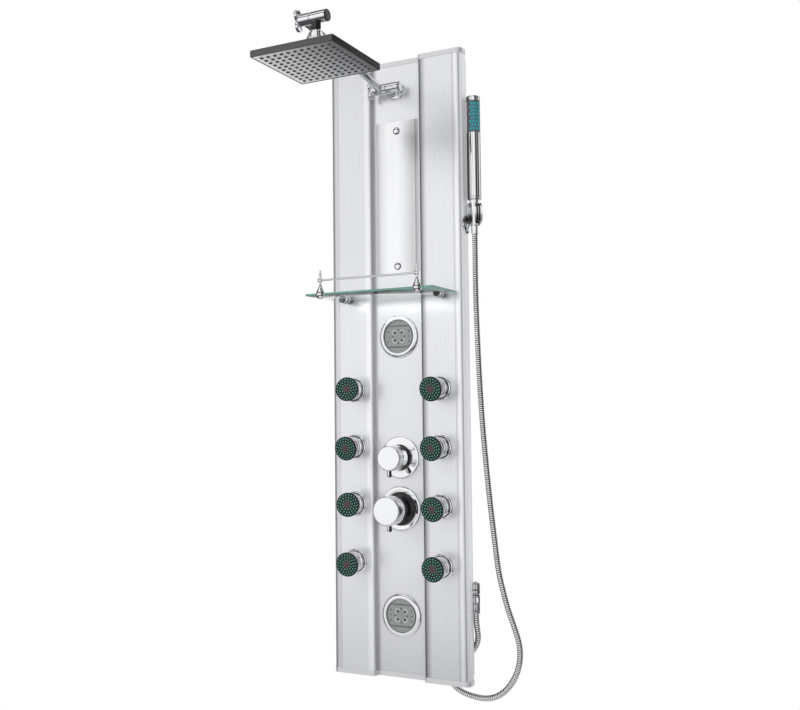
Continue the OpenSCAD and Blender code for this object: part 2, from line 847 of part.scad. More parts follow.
module jet_head(i) {
    reach = jet_reach - jet_pivot;
    skirt_r = jet_ball_r + gap + jet_shell_t;
    skirt_y = skirt_r * cos(jet_skirt_angle);
    color("silver") jet_pose(i) difference() {
        union() {
            rod_y(jet_face_r, -reach, -reach + jet_rim);
            cone_y(-reach + jet_rim, jet_face_r, -reach + jet_rim + jet_bell, jet_bell_r);
            intersection() {
                sphere(skirt_r);
                rod_y(skirt_r, -reach + jet_rim, -skirt_y);
            }
        }
        sphere(jet_ball_r + gap);
        rod_y(jet_insert_r + slip, -reach - overrun, -reach + jet_insert_t);
    }
    color("darkslategray") jet_pose(i) rod_y(jet_insert_r, -reach, -reach + jet_insert_t);
}

module jet_ball_1() { jet_ball(0); }
module jet_ball_2() { jet_ball(1); }
module jet_ball_3() { jet_ball(2); }
module jet_ball_4() { jet_ball(3); }
module jet_ball_5() { jet_ball(4); }
module jet_ball_6() { jet_ball(5); }
module jet_ball_7() { jet_ball(6); }
module jet_ball_8() { jet_ball(7); }
module jet_head_1() { jet_head(0); }
module jet_head_2() { jet_head(1); }
module jet_head_3() { jet_head(2); }
module jet_head_4() { jet_head(3); }
module jet_head_5() { jet_head(4); }
module jet_head_6() { jet_head(5); }
module jet_head_7() { jet_head(6); }
module jet_head_8() { jet_head(7); }

// A pipe through a list of points, with round elbows
module pipe_run(points) {
    for (i = [0 : len(points) - 2]) {
        step = points[i + 1] - points[i];
        along = norm(step);
        translate(points[i]) rotate([0, acos(step.z / along), atan2(step.y, step.x)])
            cylinder(h = along, r = pipe_r);
    }
    for (i = [1 : 1 : len(points) - 2]) translate(points[i]) sphere(pipe_ball_r);
}

module supply_pipes() {
    low_z = jet_top_z - (jet_rows - 1) * jet_pitch;
    jets_feed_z = diverter_z - feed_offset;
    riser_z = diverter_z + feed_offset;
    valve_edge = sqrt(valve_r * valve_r - feed_offset * feed_offset) + gap;
    color("lightsteelblue") {
        // Riser from the diverter to the arm, with a branch to the upper tilting jet
        pipe_run([[valve_edge + pipe_r / 2, pipe_y, riser_z], [riser_x, pipe_y, riser_z],
            [riser_x, pipe_y, arm_z], [0, pipe_y, arm_z]]);
        pipe_run([[housing_r + gap, pipe_y, upper_jet_z], [riser_x, pipe_y, upper_jet_z]]);
        translate([0, 0, arm_z]) rod_y(tee_r, pipe_y - tee_half, pipe_y + tee_half);
        // Left jets, and on to the lower tilting jet
        pipe_run([[-valve_edge - pipe_r / 2, pipe_y, jets_feed_z], [-jet_x, pipe_y, jets_feed_z]]);
        pipe_run([[-jet_x, pipe_y, jet_top_z], [-jet_x, pipe_y, lower_jet_z],
            [-housing_r - gap, pipe_y, lower_jet_z]]);
        // Right jets
        pipe_run([[valve_edge + pipe_r / 2, pipe_y, jets_feed_z], [jet_x, pipe_y, jets_feed_z]]);
        pipe_run([[jet_x, pipe_y, jet_top_z], [jet_x, pipe_y, low_z]]);
        for (p = jet_places) translate([p.x, 0, p.z]) rod_y(tee_r, pipe_y - tee_half, pipe_y + tee_half);
        // Mixed water from the mixer to the diverter
        pipe_run([[0, pipe_y, mixer_z + mixer_valve_r + gap], [0, pipe_y, diverter_z - valve_r - gap]]);
        // Feed of the hand shower
        pipe_run([[0, pipe_y, mixer_z - mixer_valve_r - gap], [0, pipe_y, hand_feed_z],
            [pipe_end_x, pipe_y, hand_feed_z]]);
    }
}

// The arm's base: flange, stub and hinge barrel, with a threaded tail through the panel
module arm_base() {
    color("silver") translate([0, 0, arm_z]) difference() {
        union() {
            disc_y(arm_flange_r, floor_y, arm_flange_t, plate_edge);
            rod_y(arm_stub_r, arm_hinge_y, floor_y - overrun);
            rod_y(arm_tail_r, floor_y - overrun, pipe_y - tee_half);
            translate([0, arm_hinge_y, 0]) rod_x(barrel_r, base_barrel_l, base_barrel_r);
        }
        translate([0, arm_hinge_y, 0])
            rod_x(bolt_r + slip, base_barrel_l - overrun, base_barrel_r - bolt_end);
    }
}

module arm_tube() {
    along = norm([arm_run, arm_rise]);
    color("silver") difference() {
        union() {
            translate([0, arm_hinge_y, arm_z]) rod_x(barrel_r, arm_barrel_l, base_barrel_l - gap);
            translate([0, head_y, neck_z]) rod_x(barrel_r, high_barrel_l, neck_barrel_l - gap);
            translate([tube_x, arm_hinge_y, arm_z]) rotate([atan2(arm_run, arm_rise), 0, 0])
                cylinder(h = along, r = arm_r);
        }
        translate([0, arm_hinge_y, arm_z])
            rod_x(bolt_r + slip, arm_barrel_l - overrun, base_barrel_l + overrun);
        translate([0, head_y, neck_z])
            rod_x(bolt_r + slip, high_barrel_l - overrun, neck_barrel_l + overrun);
    }
}

// A thumb screw along X: wings, hub and a plain bolt
module thumb_screw(wing_r, hub_l, hub_r, barrel_l, bolt_to) {
    lobe = wing_r - wing_tip_r;
    translate([hub_l - wing_t, 0, 0]) rotate([wing_turn, 0, 0]) rotate([90, 0, 90])
        linear_extrude(wing_t + overrun) {
            circle(wing_root_r);
            translate([-wing_web / 2, -lobe]) square([wing_web, 2 * lobe]);
            for (side = [-1, 1]) translate([0, side * lobe]) circle(wing_tip_r);
        }
    rod_x(hub_r, hub_l, barrel_l - gap);
    rod_x(bolt_r, hub_l + overrun, bolt_to);
}

module lower_thumb_screw() {
    color("silver") translate([0, arm_hinge_y, arm_z])
        thumb_screw(low_wing_r, low_hub_l, low_hub_r, arm_barrel_l, base_barrel_r - bolt_end - gap);
}

module upper_thumb_screw() {
    color("silver") translate([0, head_y, neck_z])
        thumb_screw(high_wing_r, high_hub_l, high_hub_r, high_barrel_l, neck_barrel_r - bolt_end - gap);
}

module arm_neck() {
    color("silver") translate([0, head_y, neck_z]) difference() {
        union() {
            rod_x(barrel_r, neck_barrel_l, neck_barrel_r);
            box([-block_half, -block_half, -block_low], [block_half, block_half, -block_top]);
            rod_z(ball_stem_r, -ball_drop, -block_low + overrun);
            translate([0, 0, -ball_drop]) sphere(ball_r);
        }
        rod_x(bolt_r + slip, neck_barrel_l - overrun, neck_barrel_r - bolt_end);
    }
}

module ball_nut() {
    color("silver") translate([0, head_y, ball_z]) difference() {
        union() {
            rod_z(nut_r, -nut_low, 0);
            cone_z(0, nut_r, nut_high, nut_top_r);
        }
        sphere(ball_r + gap);
        rod_z(nut_mouth_r, 0, nut_high + overrun);
        rod_z(nut_bore_r, -nut_low - overrun, -nut_low + nut_bore_h);
    }
}

module head_shell() {
    plate_half = head_half - head_edge;
    mat_half = plate_half - mat_edge;
    color("dimgray") translate([0, head_y, 0]) difference() {
        union() {
            box([-head_half, -head_half, head_low_z], [head_half, head_half, head_top_z]);
            cone_z(head_top_z - overrun, boss_foot_r, head_top_z + boss_foot_h, boss_r);
            rod_z(boss_r, head_top_z, head_top_z + boss_h);
            rod_z(nut_bore_r - gap, head_top_z, head_top_z + boss_h + spigot_h);
        }
        box([-plate_half, -plate_half, head_low_z - overrun],
            [plate_half, plate_half, head_low_z + head_lip + face_t]);
        box([-mat_half, -mat_half, head_low_z],
            [mat_half, mat_half, head_low_z + head_lip + face_t + chamber_t]);
    }
}

module head_plate() {
    half = head_half - head_edge - gap;
    low = head_low_z + head_lip;
    color("lightgray") translate([0, head_y, low]) difference() {
        box([-half, -half, 0], [half, half, face_t]);
        for (x = nozzle_offsets) for (y = nozzle_offsets) translate([x, y, 0])
            rod_z(nub_r + nub_gap, -overrun, face_t + overrun);
    }
}

// A soft mat lies on the plate and pushes a nozzle through each of its holes
module nozzle_mat() {
    half = head_half - head_edge - mat_edge - gap;
    low = head_low_z + head_lip + face_t;
    color("darkslategray") translate([0, head_y, low]) {
        box([-half, -half, 0], [half, half, mat_t]);
        for (x = nozzle_offsets) for (y = nozzle_offsets) translate([x, y, 0]) {
            rod_z(nub_r, -face_t, overrun / 2);
            cone_z(-face_t - nub_out, nub_tip_r, -face_t, nub_r);
        }
    }
}

module outlet_elbow() {
    union_top = hand_feed_z - elbow_down;
    ferrule_top = union_top - union_h;
    color("silver") {
        translate([0, elbow_y, hand_feed_z]) {
            rod_x(elbow_spigot_r, pipe_end_x, elbow_x);
            rod_x(elbow_rose_r, rail_x, rail_x + elbow_rose_t);
        }
        translate([elbow_x, elbow_y, 0]) {
            rod_z(elbow_r, union_top, hand_feed_z + elbow_up);
            translate([0, 0, hand_feed_z + elbow_up]) sphere(elbow_r);
        }
        translate([elbow_x, elbow_y, 0]) {
            rod_z(union_r, ferrule_top, union_top);
            cone_z(ferrule_top - union_lip, ferrule_r, ferrule_top, union_r);
            rod_z(ferrule_r, ferrule_top - ferrule_h, ferrule_top);
        }
    }
}

// The conical nut at the hose's end screws onto the hand shower and sits in the holder
module cone_nut() {
    color("silver") translate([handset_x, handset_y, handset_z]) {
        cone_z(-nut_cone_h, nut_neck_r, -nut_top_step, nut_cone_top_r);
        rod_z(nut_cone_top_r, -nut_top_step, 0);
        rod_z(nut_neck_r, -nut_cone_h - nut_neck_h, -nut_cone_h);
    }
}

module handset_holder() {
    top = -cup_top;
    low = -cup_top - cup_h;
    color("silver") {
        difference() {
            translate([handset_x, handset_y, handset_z]) cone_z(low, cup_low_r, top, cup_r);
            translate([handset_x, handset_y, handset_z]) {
                cone_z(-nut_cone_h, nut_neck_r + cup_gap, 0, nut_cone_top_r + cup_gap);
                rod_z(nut_neck_r + cup_gap, low - overrun, -nut_cone_h + overrun);
                box([-slot_w / 2, -cup_r - overrun, low - overrun], [slot_w / 2, 0, top + overrun]);
            }
        }
        difference() {
            union() {
                translate([0, handset_y, handset_z - rosette_drop]) {
                    rod_x(pad_r, half_w, half_w + pad_t + overrun);
                    rod_x(rosette_r, half_w + pad_t, half_w + rosette_t);
                    rod_x(mirror_pin_r, half_w - skin_t + gap, half_w + overrun);
                }
                box([half_w + holder_bar_l, handset_y - holder_bar_half, handset_z - rosette_drop],
                    [half_w + holder_bar_r, handset_y + holder_bar_half, handset_z - cup_top - cup_h / 3]);
            }
            translate([handset_x, handset_y, handset_z]) rod_z(cup_low_r - skin_t, low, top);
        }
    }
}

module handset_body() {
    band_low = handset_len - handset_cap_h - band_h;
    color("silver") translate([handset_x, handset_y, handset_z]) {
        rod_z(handset_r, handset_edge, band_low);
        cone_z(0, handset_r - handset_edge, handset_edge, handset_r);
        rod_z(core_r, band_low - overrun, band_low + band_h + overrun);
        rod_z(handset_r, band_low + band_h, handset_len - handset_edge);
        cone_z(handset_len - handset_edge, handset_r, handset_len, handset_r - handset_edge);
    }
}

module handset_band() {
    band_low = handset_z + handset_len - handset_cap_h - band_h;
    color("teal") translate([handset_x, handset_y, 0]) difference() {
        rod_z(handset_r, band_low, band_low + band_h);
        rod_z(core_r + core_gap, band_low - overrun, band_low + band_h + overrun);
    }
}

// Smooth curve through the route, as a cubic between each pair of points
function route_point(i) = hose_route[max(0, min(len(hose_route) - 1, i))];
function cubic(a, b, c, d, t) =
    0.5 * (2 * b + (c - a) * t + (2 * a - 5 * b + 4 * c - d) * t * t + (3 * b - a - 3 * c + d) * t * t * t);
function spline_at(s) = let (i = min(floor(s), len(hose_route) - 2), t = s - i)
    cubic(route_point(i - 1), route_point(i), route_point(i + 1), route_point(i + 2), t);
// Points a small step apart, and the length run up to each of them
spline_steps = 12;
fine = [for (k = [0 : (len(hose_route) - 1) * spline_steps]) spline_at(k / spline_steps)];
function run_up(k, total, out) =
    k >= len(fine) ? out : run_up(k + 1, total + norm(fine[k] - fine[k - 1]),
        concat(out, [total + norm(fine[k] - fine[k - 1])]));
runs = run_up(1, 0, [0]);
hose_len = runs[len(runs) - 1];
function at_length(s) = let (x = lookup(s, [for (k = [0 : len(runs) - 1]) [runs[k], k]]),
    i = min(floor(x), len(fine) - 2)) fine[i] + (fine[i + 1] - fine[i]) * (x - i);
function unit(v) = v / norm(v);
ring_share = 0.002;
function heading(s) = s <= hose_r ? [0, 0, -1] : s >= hose_len - hose_r ? [0, 0, 1] :
    unit(at_length(s + hose_len * ring_share) - at_length(s - hose_len * ring_share));
function ring(s, r) = let (c = at_length(s), t = heading(s), n = unit(cross([0, 1, 0], t)), b = cross(t, n))
    [for (k = [0 : hose_sides - 1]) c + r * (cos(k * 360 / hose_sides) * n + sin(k * 360 / hose_sides) * b)];
// Faces between two neighbouring rings, and across one end
function wall_faces(first, rings) = [for (i = [0 : rings - 2]) for (k = [0 : hose_sides - 1])
    let (a = first + i * hose_sides, j = (k + 1) % hose_sides)
    each [[a + k, a + hose_sides + k, a + j], [a + j, a + hose_sides + k, a + hose_sides + j]]];
function turned(faces) = [for (f = faces) [f[0], f[2], f[1]]];
function end_faces(outer, inner) = [for (k = [0 : hose_sides - 1]) let (j = (k + 1) % hose_sides)
    each [[outer + k, outer + j, inner + k], [inner + k, outer + j, inner + j]]];

module hose() {
    rib_rings = 2 * hose_ribs + 1;
    bore_rings = 2 * hose_ribs / bore_step + 1;
    outer_points = [for (i = [0 : rib_rings - 1])
        each ring(hose_len * i / (rib_rings - 1), i % 2 == 0 ? hose_r - rib_deep : hose_r)];
    bore_points = [for (i = [0 : bore_rings - 1]) each ring(hose_len * i / (bore_rings - 1), hose_bore_r)];
    n = len(outer_points);
    m = len(bore_points);
    echo("hose length", hose_len);
    color("lightgray") polyhedron(points = concat(outer_points, bore_points), faces = concat(
        wall_faces(0, rib_rings), turned(wall_faces(n, bore_rings)), end_faces(0, n),
        turned(end_faces(n - hose_sides, n + m - hose_sides))), convexity = 8);
}

centre_panel();
left_pillar();
right_pillar();
top_cap();
bottom_cap();
side_rails();
wall_brackets();
wall_screws();
wall_plugs();
mirror_plate();
mirror_caps();
shelf_glass();
shelf_brackets();
shelf_posts();
shelf_rail();
drum_rings();
drum_housings();
upper_drum();
lower_drum();
diverter_plate();
diverter_knob();
diverter_valve();
mixer_plate();
mixer_collar();
mixer_spindle();
mixer_knob();
mixer_valve();
arm_base();
arm_tube();
lower_thumb_screw();
upper_thumb_screw();
arm_neck();
ball_nut();
head_shell();
head_plate();
nozzle_mat();
outlet_elbow();
hose();
cone_nut();
handset_holder();
handset_body();
handset_band();
supply_pipes();
jet_flanges();
jet_ball_1();
jet_ball_2();
jet_ball_3();
jet_ball_4();
jet_ball_5();
jet_ball_6();
jet_ball_7();
jet_ball_8();
jet_head_1();
jet_head_2();
jet_head_3();
jet_head_4();
jet_head_5();
jet_head_6();
jet_head_7();
jet_head_8();
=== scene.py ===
import json
from math import atan2, cos, pi, radians, sin

import bmesh
import bpy
from mathutils import Matrix, Vector


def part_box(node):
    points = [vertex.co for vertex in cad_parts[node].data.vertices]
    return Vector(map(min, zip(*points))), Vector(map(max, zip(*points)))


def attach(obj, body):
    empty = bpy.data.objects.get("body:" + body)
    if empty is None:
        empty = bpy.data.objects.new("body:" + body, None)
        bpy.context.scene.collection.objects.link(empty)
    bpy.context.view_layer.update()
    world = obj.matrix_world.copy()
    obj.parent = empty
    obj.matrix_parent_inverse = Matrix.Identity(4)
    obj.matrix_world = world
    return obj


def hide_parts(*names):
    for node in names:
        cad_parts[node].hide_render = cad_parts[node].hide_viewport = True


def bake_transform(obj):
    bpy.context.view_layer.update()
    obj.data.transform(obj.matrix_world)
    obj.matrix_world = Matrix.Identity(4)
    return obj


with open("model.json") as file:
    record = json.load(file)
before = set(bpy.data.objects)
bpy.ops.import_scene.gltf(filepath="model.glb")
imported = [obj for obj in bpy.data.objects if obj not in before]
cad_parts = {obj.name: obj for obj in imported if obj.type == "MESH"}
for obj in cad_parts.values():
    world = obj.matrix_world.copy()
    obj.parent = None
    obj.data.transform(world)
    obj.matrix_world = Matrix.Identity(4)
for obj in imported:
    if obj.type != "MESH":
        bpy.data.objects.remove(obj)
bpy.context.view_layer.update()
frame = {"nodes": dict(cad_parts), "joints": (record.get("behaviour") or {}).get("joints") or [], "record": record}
cad = frame["nodes"]
joints = {joint["name"]: joint for joint in frame["joints"]}
scene = bpy.context.scene
scene.view_settings.view_transform = "Standard"


# Places that several pieces share.

MM = 0.001
FRONT = (0, -1, 0)
BACK = (0, 1, 0)
RIGHT = (1, 0, 0)
UP = (0, 0, 1)
DOWN = (0, 0, -1)


def in_mm(place):
    return Vector([round(value / MM, 3) for value in place])


def pivot(joint):
    """Where the record puts the axis of a joint."""
    return in_mm(joints[joint]["pos_m"])


def corners(node):
    """The lowest and the highest corner of a CAD node."""
    return [in_mm(corner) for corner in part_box(node)]


# Fronts of the channel's floor and of the pillars
CHANNEL_Y = corners("centre_panel")[0].y
PILLAR_Y = corners("left_pillar")[0].y
ARM_HINGE = pivot("arm_fold")
NECK_HINGE = pivot("head_pitch")
HEAD_BALL = pivot("head_roll")
DRUM_ZS = {"upper": pivot("upper_drum_tilt").z, "lower": pivot("lower_drum_tilt").z}
JETS = [pivot("jet_%d_pan" % n) for n in range(1, 9)]
# The middle of the hand shower's lower end, where the cone nut stops
nut_low, nut_high = corners("cone_nut")
HANDSET = Vector(((nut_low.x + nut_high.x) / 2, (nut_low.y + nut_high.y) / 2, nut_high.z))


# Camera, fitted to the edges of the object in the photo

def make_camera():
    yaw, pitch, roll = radians(27.124), radians(3.234), radians(-0.618)
    place = (1.1214, -2.2386, -0.1166)
    ahead = Vector((-sin(yaw) * cos(pitch), cos(yaw) * cos(pitch), sin(pitch)))
    right = Vector((cos(yaw), sin(yaw), 0))
    up = right.cross(ahead)
    right, up = cos(roll) * right + sin(roll) * up, -sin(roll) * right + cos(roll) * up
    data = bpy.data.cameras.new("camera")
    data.sensor_width = 36
    data.lens = 45.52
    data.clip_end = 50
    cam = bpy.data.objects.new("camera", data)
    scene.collection.objects.link(cam)
    turn = Matrix((right, up, -ahead)).transposed().to_4x4()
    cam.matrix_world = Matrix.Translation(place) @ turn
    scene.camera = cam


make_camera()


# Shader nodes

def map_range(tree, source, low, high, to_low=0, to_high=1):
    node = tree.nodes.new("ShaderNodeMapRange")
    for socket, value in (("From Min", low), ("From Max", high), ("To Min", to_low), ("To Max", to_high)):
        node.inputs[socket].default_value = value
    tree.links.new(source, node.inputs["Value"])
    return node.outputs["Result"]


def grey_ramp(tree, source, stops):
    """Grey levels along a value from 0 to 1, given as (place, level) stops."""
    node = tree.nodes.new("ShaderNodeValToRGB")
    elements = node.color_ramp.elements
    while len(elements) < len(stops):
        elements.new(0.5)
    for element, (place, level) in zip(elements, stops):
        element.position = place
        element.color = (level, level, level, 1)
    tree.links.new(source, node.inputs["Fac"])
    return node.outputs["Color"]


def mixed(tree, first, second, factor=None, blend="MIX"):
    """Two colours, each a value or a socket, mixed by the socket factor or else in full."""
    node = tree.nodes.new("ShaderNodeMixRGB")
    node.blend_type = blend
    if factor is None:
        node.inputs["Fac"].default_value = 1
    else:
        tree.links.new(factor, node.inputs["Fac"])
    for value, socket in ((first, "Color1"), (second, "Color2")):
        if isinstance(value, tuple):
            node.inputs[socket].default_value = value
        else:
            tree.links.new(value, node.inputs[socket])
    return node.outputs["Color"]


# Materials

def srgb(value):
    value /= 255
    return value / 12.92 if value <= 0.04045 else ((value + 0.055) / 1.055) ** 2.4


def tone(r, g, b):
    """A colour given as it looks on screen, from 0 to 255."""
    return (srgb(r), srgb(g), srgb(b), 1)


# Nearly all values of a noise lie between these
NOISE_LOW = 0.3
NOISE_HIGH = 0.7
RELIEF = 0.2 * MM


def surface(name, color, metallic=0, rough=0.4, vary=0.05, grain=60, tint=0.06, bump=0, ior=None,
            clear=0, bands=(), turned=0, matte=None):
    """A procedural material: a noise moves its colour by tint, its roughness by vary and its relief by bump.

    grain is the scale of the noise, or its three scales. bands is a list of (axis, stops): each paints light
    and shade as strips that brighten or darken across that axis of the object, from stops of (millimetres,
    level). turned is the angle in degrees by which these axes are turned about the vertical. matte is (start,
    end, metallic): between these places on the X axis the metal fades to that level.
    """
    mat = bpy.data.materials.new(name)
    mat.use_nodes = True
    tree = mat.node_tree
    add, link = tree.nodes.new, tree.links.new
    shader = tree.nodes["Principled BSDF"]
    shader.inputs["Metallic"].default_value = metallic
    shader.inputs["Transmission Weight"].default_value = clear
    if ior:
        shader.inputs["IOR"].default_value = ior
    place = add("ShaderNodeTexCoord").outputs["Object"]
    stretch = add("ShaderNodeMapping")
    stretch.inputs["Scale"].default_value = grain if isinstance(grain, tuple) else (grain,) * 3
    link(place, stretch.inputs["Vector"])
    cloud = add("ShaderNodeTexNoise")
    cloud.inputs["Scale"].default_value = 1
    cloud.inputs["Detail"].default_value = 4
    link(stretch.outputs["Vector"], cloud.inputs["Vector"])
    noise = cloud.outputs["Fac"]

    gloss = map_range(tree, noise, NOISE_LOW, NOISE_HIGH, max(0, rough - vary), rough + vary)
    link(gloss, shader.inputs["Roughness"])
    ramp = add("ShaderNodeValToRGB")
    shades = ((NOISE_LOW, 1 - tint), (NOISE_HIGH, 1 + tint))
    for element, (position, share) in zip(ramp.color_ramp.elements, shades):
        element.position = position
        element.color = [min(1, c * share) for c in color[:3]] + [1]
    link(noise, ramp.inputs["Fac"])
    tinted = ramp.outputs["Color"]

    for axis, stops in bands:
        turn = add("ShaderNodeMapping")
        turn.inputs["Rotation"].default_value = (0, 0, -radians(turned))
        link(place, turn.inputs["Vector"])
        split = add("ShaderNodeSeparateXYZ")
        link(turn.outputs["Vector"], split.inputs["Vector"])
        along = split.outputs[axis]
        low, high = stops[0][0], stops[-1][0]
        across = map_range(tree, along, low * MM, high * MM)
        # Painted light and shade: strips that brighten or darken the colour across this axis
        strips = grey_ramp(tree, across, [((at - low) / (high - low), level) for at, level in stops])
        tinted = mixed(tree, tinted, strips, blend="MULTIPLY")
        if matte and axis == "X":
            start, end, dull = matte
            fade = map_range(tree, along, start * MM, end * MM, metallic, dull)
            link(fade, shader.inputs["Metallic"])
    link(tinted, shader.inputs["Base Color"])

    if bump:
        relief = add("ShaderNodeBump")
        relief.inputs["Strength"].default_value = bump
        relief.inputs["Distance"].default_value = RELIEF
        link(noise, relief.inputs["Height"])
        link(relief.outputs["Normal"], shader.inputs["Normal"])
    return mat


def satin(name, color, rough, bands, matte=None):
    """The panel's aluminium, brushed up and down."""
    return surface(name, color, metallic=0.7, rough=rough, vary=0.03, grain=(1400, 1400, 9), tint=0.008,
                   bump=0.035, bands=bands, matte=matte)


def chrome(name, color=tone(240, 241, 243), rough=0.06, bands=(), turned=0):
    """Polished chrome. Its bands stand for the reflections that the photo shows on this piece."""
    return surface(name, color, metallic=1, rough=rough, vary=0.02, grain=45, tint=0.012, bump=0.012,
                   bands=bands, turned=turned)


# How the light falls along the panel, and the angle at which the camera sees the pieces on its right side
FALL = ("Z", [(-750, 0.74), (-640, 0.86), (-560, 0.92), (-460, 1), (750, 1)])
LEFT_FALL = ("Z", [(-750, 0.82), (-640, 0.89), (-560, 0.94), (-460, 1), (60, 1), (300, 0.9), (750, 0.88)])
SIDE_VIEW = 22.8

PANEL = satin("panel_satin", tone(237, 238, 242), 0.32, [FALL])
# Both pillars carry painted light across X: bright strips are painted highlights, and dark strips are painted
# shade along the channel's edges and near the outer edges.
LEFT_PILLAR = satin("left_pillar_satin", tone(237, 238, 242), 0.3, [LEFT_FALL, ("X", [
    (-182, 0.86), (-173, 0.84), (-170.5, 0.55), (-168.5, 0.84), (-160, 0.86), (-156, 1), (-86, 1),
    (-80, 1.14), (-73, 1.18), (-68.5, 1.05), (-66.4, 0.6), (-64, 0.42)])], matte=(-74, -71, 0.35))
RIGHT_PILLAR = satin("right_pillar_satin", tone(235, 236, 240), 0.3, [FALL, ("X", [
    (64, 0.18), (69.5, 0.2), (73.5, 0.38), (78, 0.62), (83, 0.88), (88, 1), (155, 1), (158.5, 0.84),
    (163, 1.12), (167, 1.18), (171, 1), (172.6, 0.42), (174.2, 0.5), (175.4, 1), (179, 1.1),
    (182, 1.1)])], matte=(171.5, 174.5, 0.12))
CAP = surface("cap_silver", tone(214, 215, 217), metallic=0.5, rough=0.33, vary=0.04, grain=500, tint=0.03,
              bump=0.04)
# The strips across Y are painted highlights and painted shade on the rail's steps.
RAIL = surface("rail_satin", tone(196, 198, 200), metallic=0.7, rough=0.3, vary=0.06, grain=(1200, 1200, 8),
               tint=0.03, bump=0.12, bands=[FALL, ("Y", [
                   (-60, 1.1), (-46, 1.1), (-43, 0.6), (-40.5, 0.7), (-38, 1.15), (-33, 1.2), (-30.5, 0.75),
                   (-28, 1.1), (-21, 1.05), (-18.5, 0.65), (-15, 0.95), (0, 0.8)])])
STEEL = surface("zinc_steel", tone(190, 192, 194), metallic=0.9, rough=0.32, vary=0.08, grain=220, tint=0.08,
                bump=0.1)
CHROME = chrome("chrome", tone(243, 244, 246), 0.045)
# The strips across X are a painted reflection: darker towards both sides, most towards the right.
MIRROR = surface("mirror_polish", tone(250, 251, 253), metallic=1, rough=0.24, vary=0.04, grain=(20, 20, 4),
                 tint=0.01, bands=[("X", [
                     (-58, 0.58), (-53, 0.66), (-44, 0.86), (-24, 1), (2, 1), (18, 0.9), (34, 0.76),
                     (42, 0.66), (46, 0.72), (50, 0.4), (54, 0.62), (58, 0.5)])])
NYLON = surface("plug_nylon", tone(228, 228, 222), rough=0.5, vary=0.08, grain=300, tint=0.04, bump=0.1)
GREY = surface("grey_plastic", tone(146, 148, 149), rough=0.42, vary=0.07, grain=700, tint=0.05, bump=0.12)
PALE_GREY = surface("pale_grey_plastic", tone(200, 202, 203), rough=0.35, vary=0.07, grain=700, tint=0.05,
                    bump=0.1)
DARK_GREY = surface("dark_grey_plastic", tone(74, 76, 78), rough=0.45, vary=0.07, grain=700, bump=0.12)
BLACK = surface("black_gloss", tone(30, 31, 33), rough=0.16, grain=160, tint=0.1, bump=0.03)
BRASS = surface("brass", tone(212, 178, 112), metallic=1, rough=0.3, vary=0.1, grain=150, tint=0.1,
                bump=0.08)
# The strip at the right end of X is painted shade on the casing's right side.
ANTHRACITE = surface("anthracite", tone(84, 85, 87), metallic=0.1, vary=0.06, grain=500, bump=0.06, ior=1.22,
                     bands=[("X", [(-102, 1.05), (98, 0.95), (101.2, 0.16), (102, 0.16)])])
# The strips across X are painted light: the plate brighter to the left and darker to the right.
PLATE = surface("nozzle_plate", tone(222, 223, 225), metallic=0.6, rough=0.34, vary=0.06,
                grain=(900, 12, 900), tint=0.03, bump=0.08,
                bands=[("X", [(-102, 2.8), (-80, 2), (0, 1.1), (102, 0.2)])])
COLLAR = surface("nozzle_collar", tone(96, 98, 101), rough=0.3, vary=0.08, grain=600, tint=0.12, bump=0.1)
RUBBER = surface("nozzle_rubber", tone(44, 46, 49), rough=0.6, vary=0.08, grain=600, tint=0.1, bump=0.1)
HOSE = surface("hose_steel", tone(246, 247, 248), metallic=1, rough=0.1, grain=130, tint=0.05, bump=0.03)
# Dark steel: on the hose's groove faces it is painted shade; the mirror's domes wear it as a dark ring at their
# foot.
HOSE_GROOVE = surface("hose_groove", tone(70, 71, 74), metallic=0.9, vary=0.08, grain=130, tint=0.1,
                      bump=0.03)
TUBE_CHROME = chrome("tube_chrome", tone(243, 244, 246), 0.05, [("X", [
    (150.7, 0.08), (154.2, 0.08), (155.6, 0.4), (157, 0.62), (161, 0.62), (162.2, 1), (168.4, 1),
    (169.4, 0.7), (175.6, 0.8), (177.4, 1), (181, 1), (182, 0.2), (183.7, 0.15)])], SIDE_VIEW)
HOLDER_CHROME = chrome("holder_chrome", rough=0.07, bands=[("Z", [
    (298, 0.08), (305, 0.2), (309, 1), (323, 1), (329, 0.4), (334, 0.16), (343, 0.34), (350, 0.9),
    (361, 1), (365, 0.8), (369, 0.45), (373, 0.95)])])
OUTLET_CHROME = chrome("outlet_chrome", bands=[("X", [
    (142, 0.3), (149.5, 0.3), (150.5, 1), (154, 1), (155, 0.3), (157.4, 0.3), (158.4, 1), (162, 1),
    (163.2, 0.1), (168, 0.06)])], turned=SIDE_VIEW)
CLAMP_CHROME = chrome("clamp_chrome", bands=[("Y", [
    (-112, 0.12), (-107.5, 0.15), (-106.5, 1), (-99, 1), (-97.5, 0.15), (-92, 0.12), (-90.5, 1),
    (-85, 0.9), (-83.5, 0.2), (-70, 0.5)])])
PIN_CHROME = chrome("pin_chrome", bands=[("X", [
    (-6.5, 0.08), (-3.2, 0.1), (-2.2, 1), (0.8, 1), (1.8, 0.1), (6.5, 0.06)])])
PIPE = surface("pipe_plastic", tone(222, 224, 226), rough=0.45, vary=0.06, grain=120, tint=0.03, bump=0.05)
JET_FACE = surface("jet_face", tone(12, 17, 19), rough=0.5, vary=0.08, grain=500, tint=0.12, bump=0.1)
JET_RIM = surface("jet_rim", tone(20, 23, 24), vary=0.06, grain=400, tint=0.1, bump=0.05)
JET_NUB = surface("jet_nub", tone(104, 196, 172), rough=0.6, vary=0.08, grain=900, tint=0.12)
JET_HEART = surface("jet_heart", tone(78, 60, 66), rough=0.5, vary=0.08, grain=500, tint=0.1)
BAND = surface("band_plastic", tone(84, 84, 90), rough=0.38, vary=0.06, grain=500, bump=0.05)
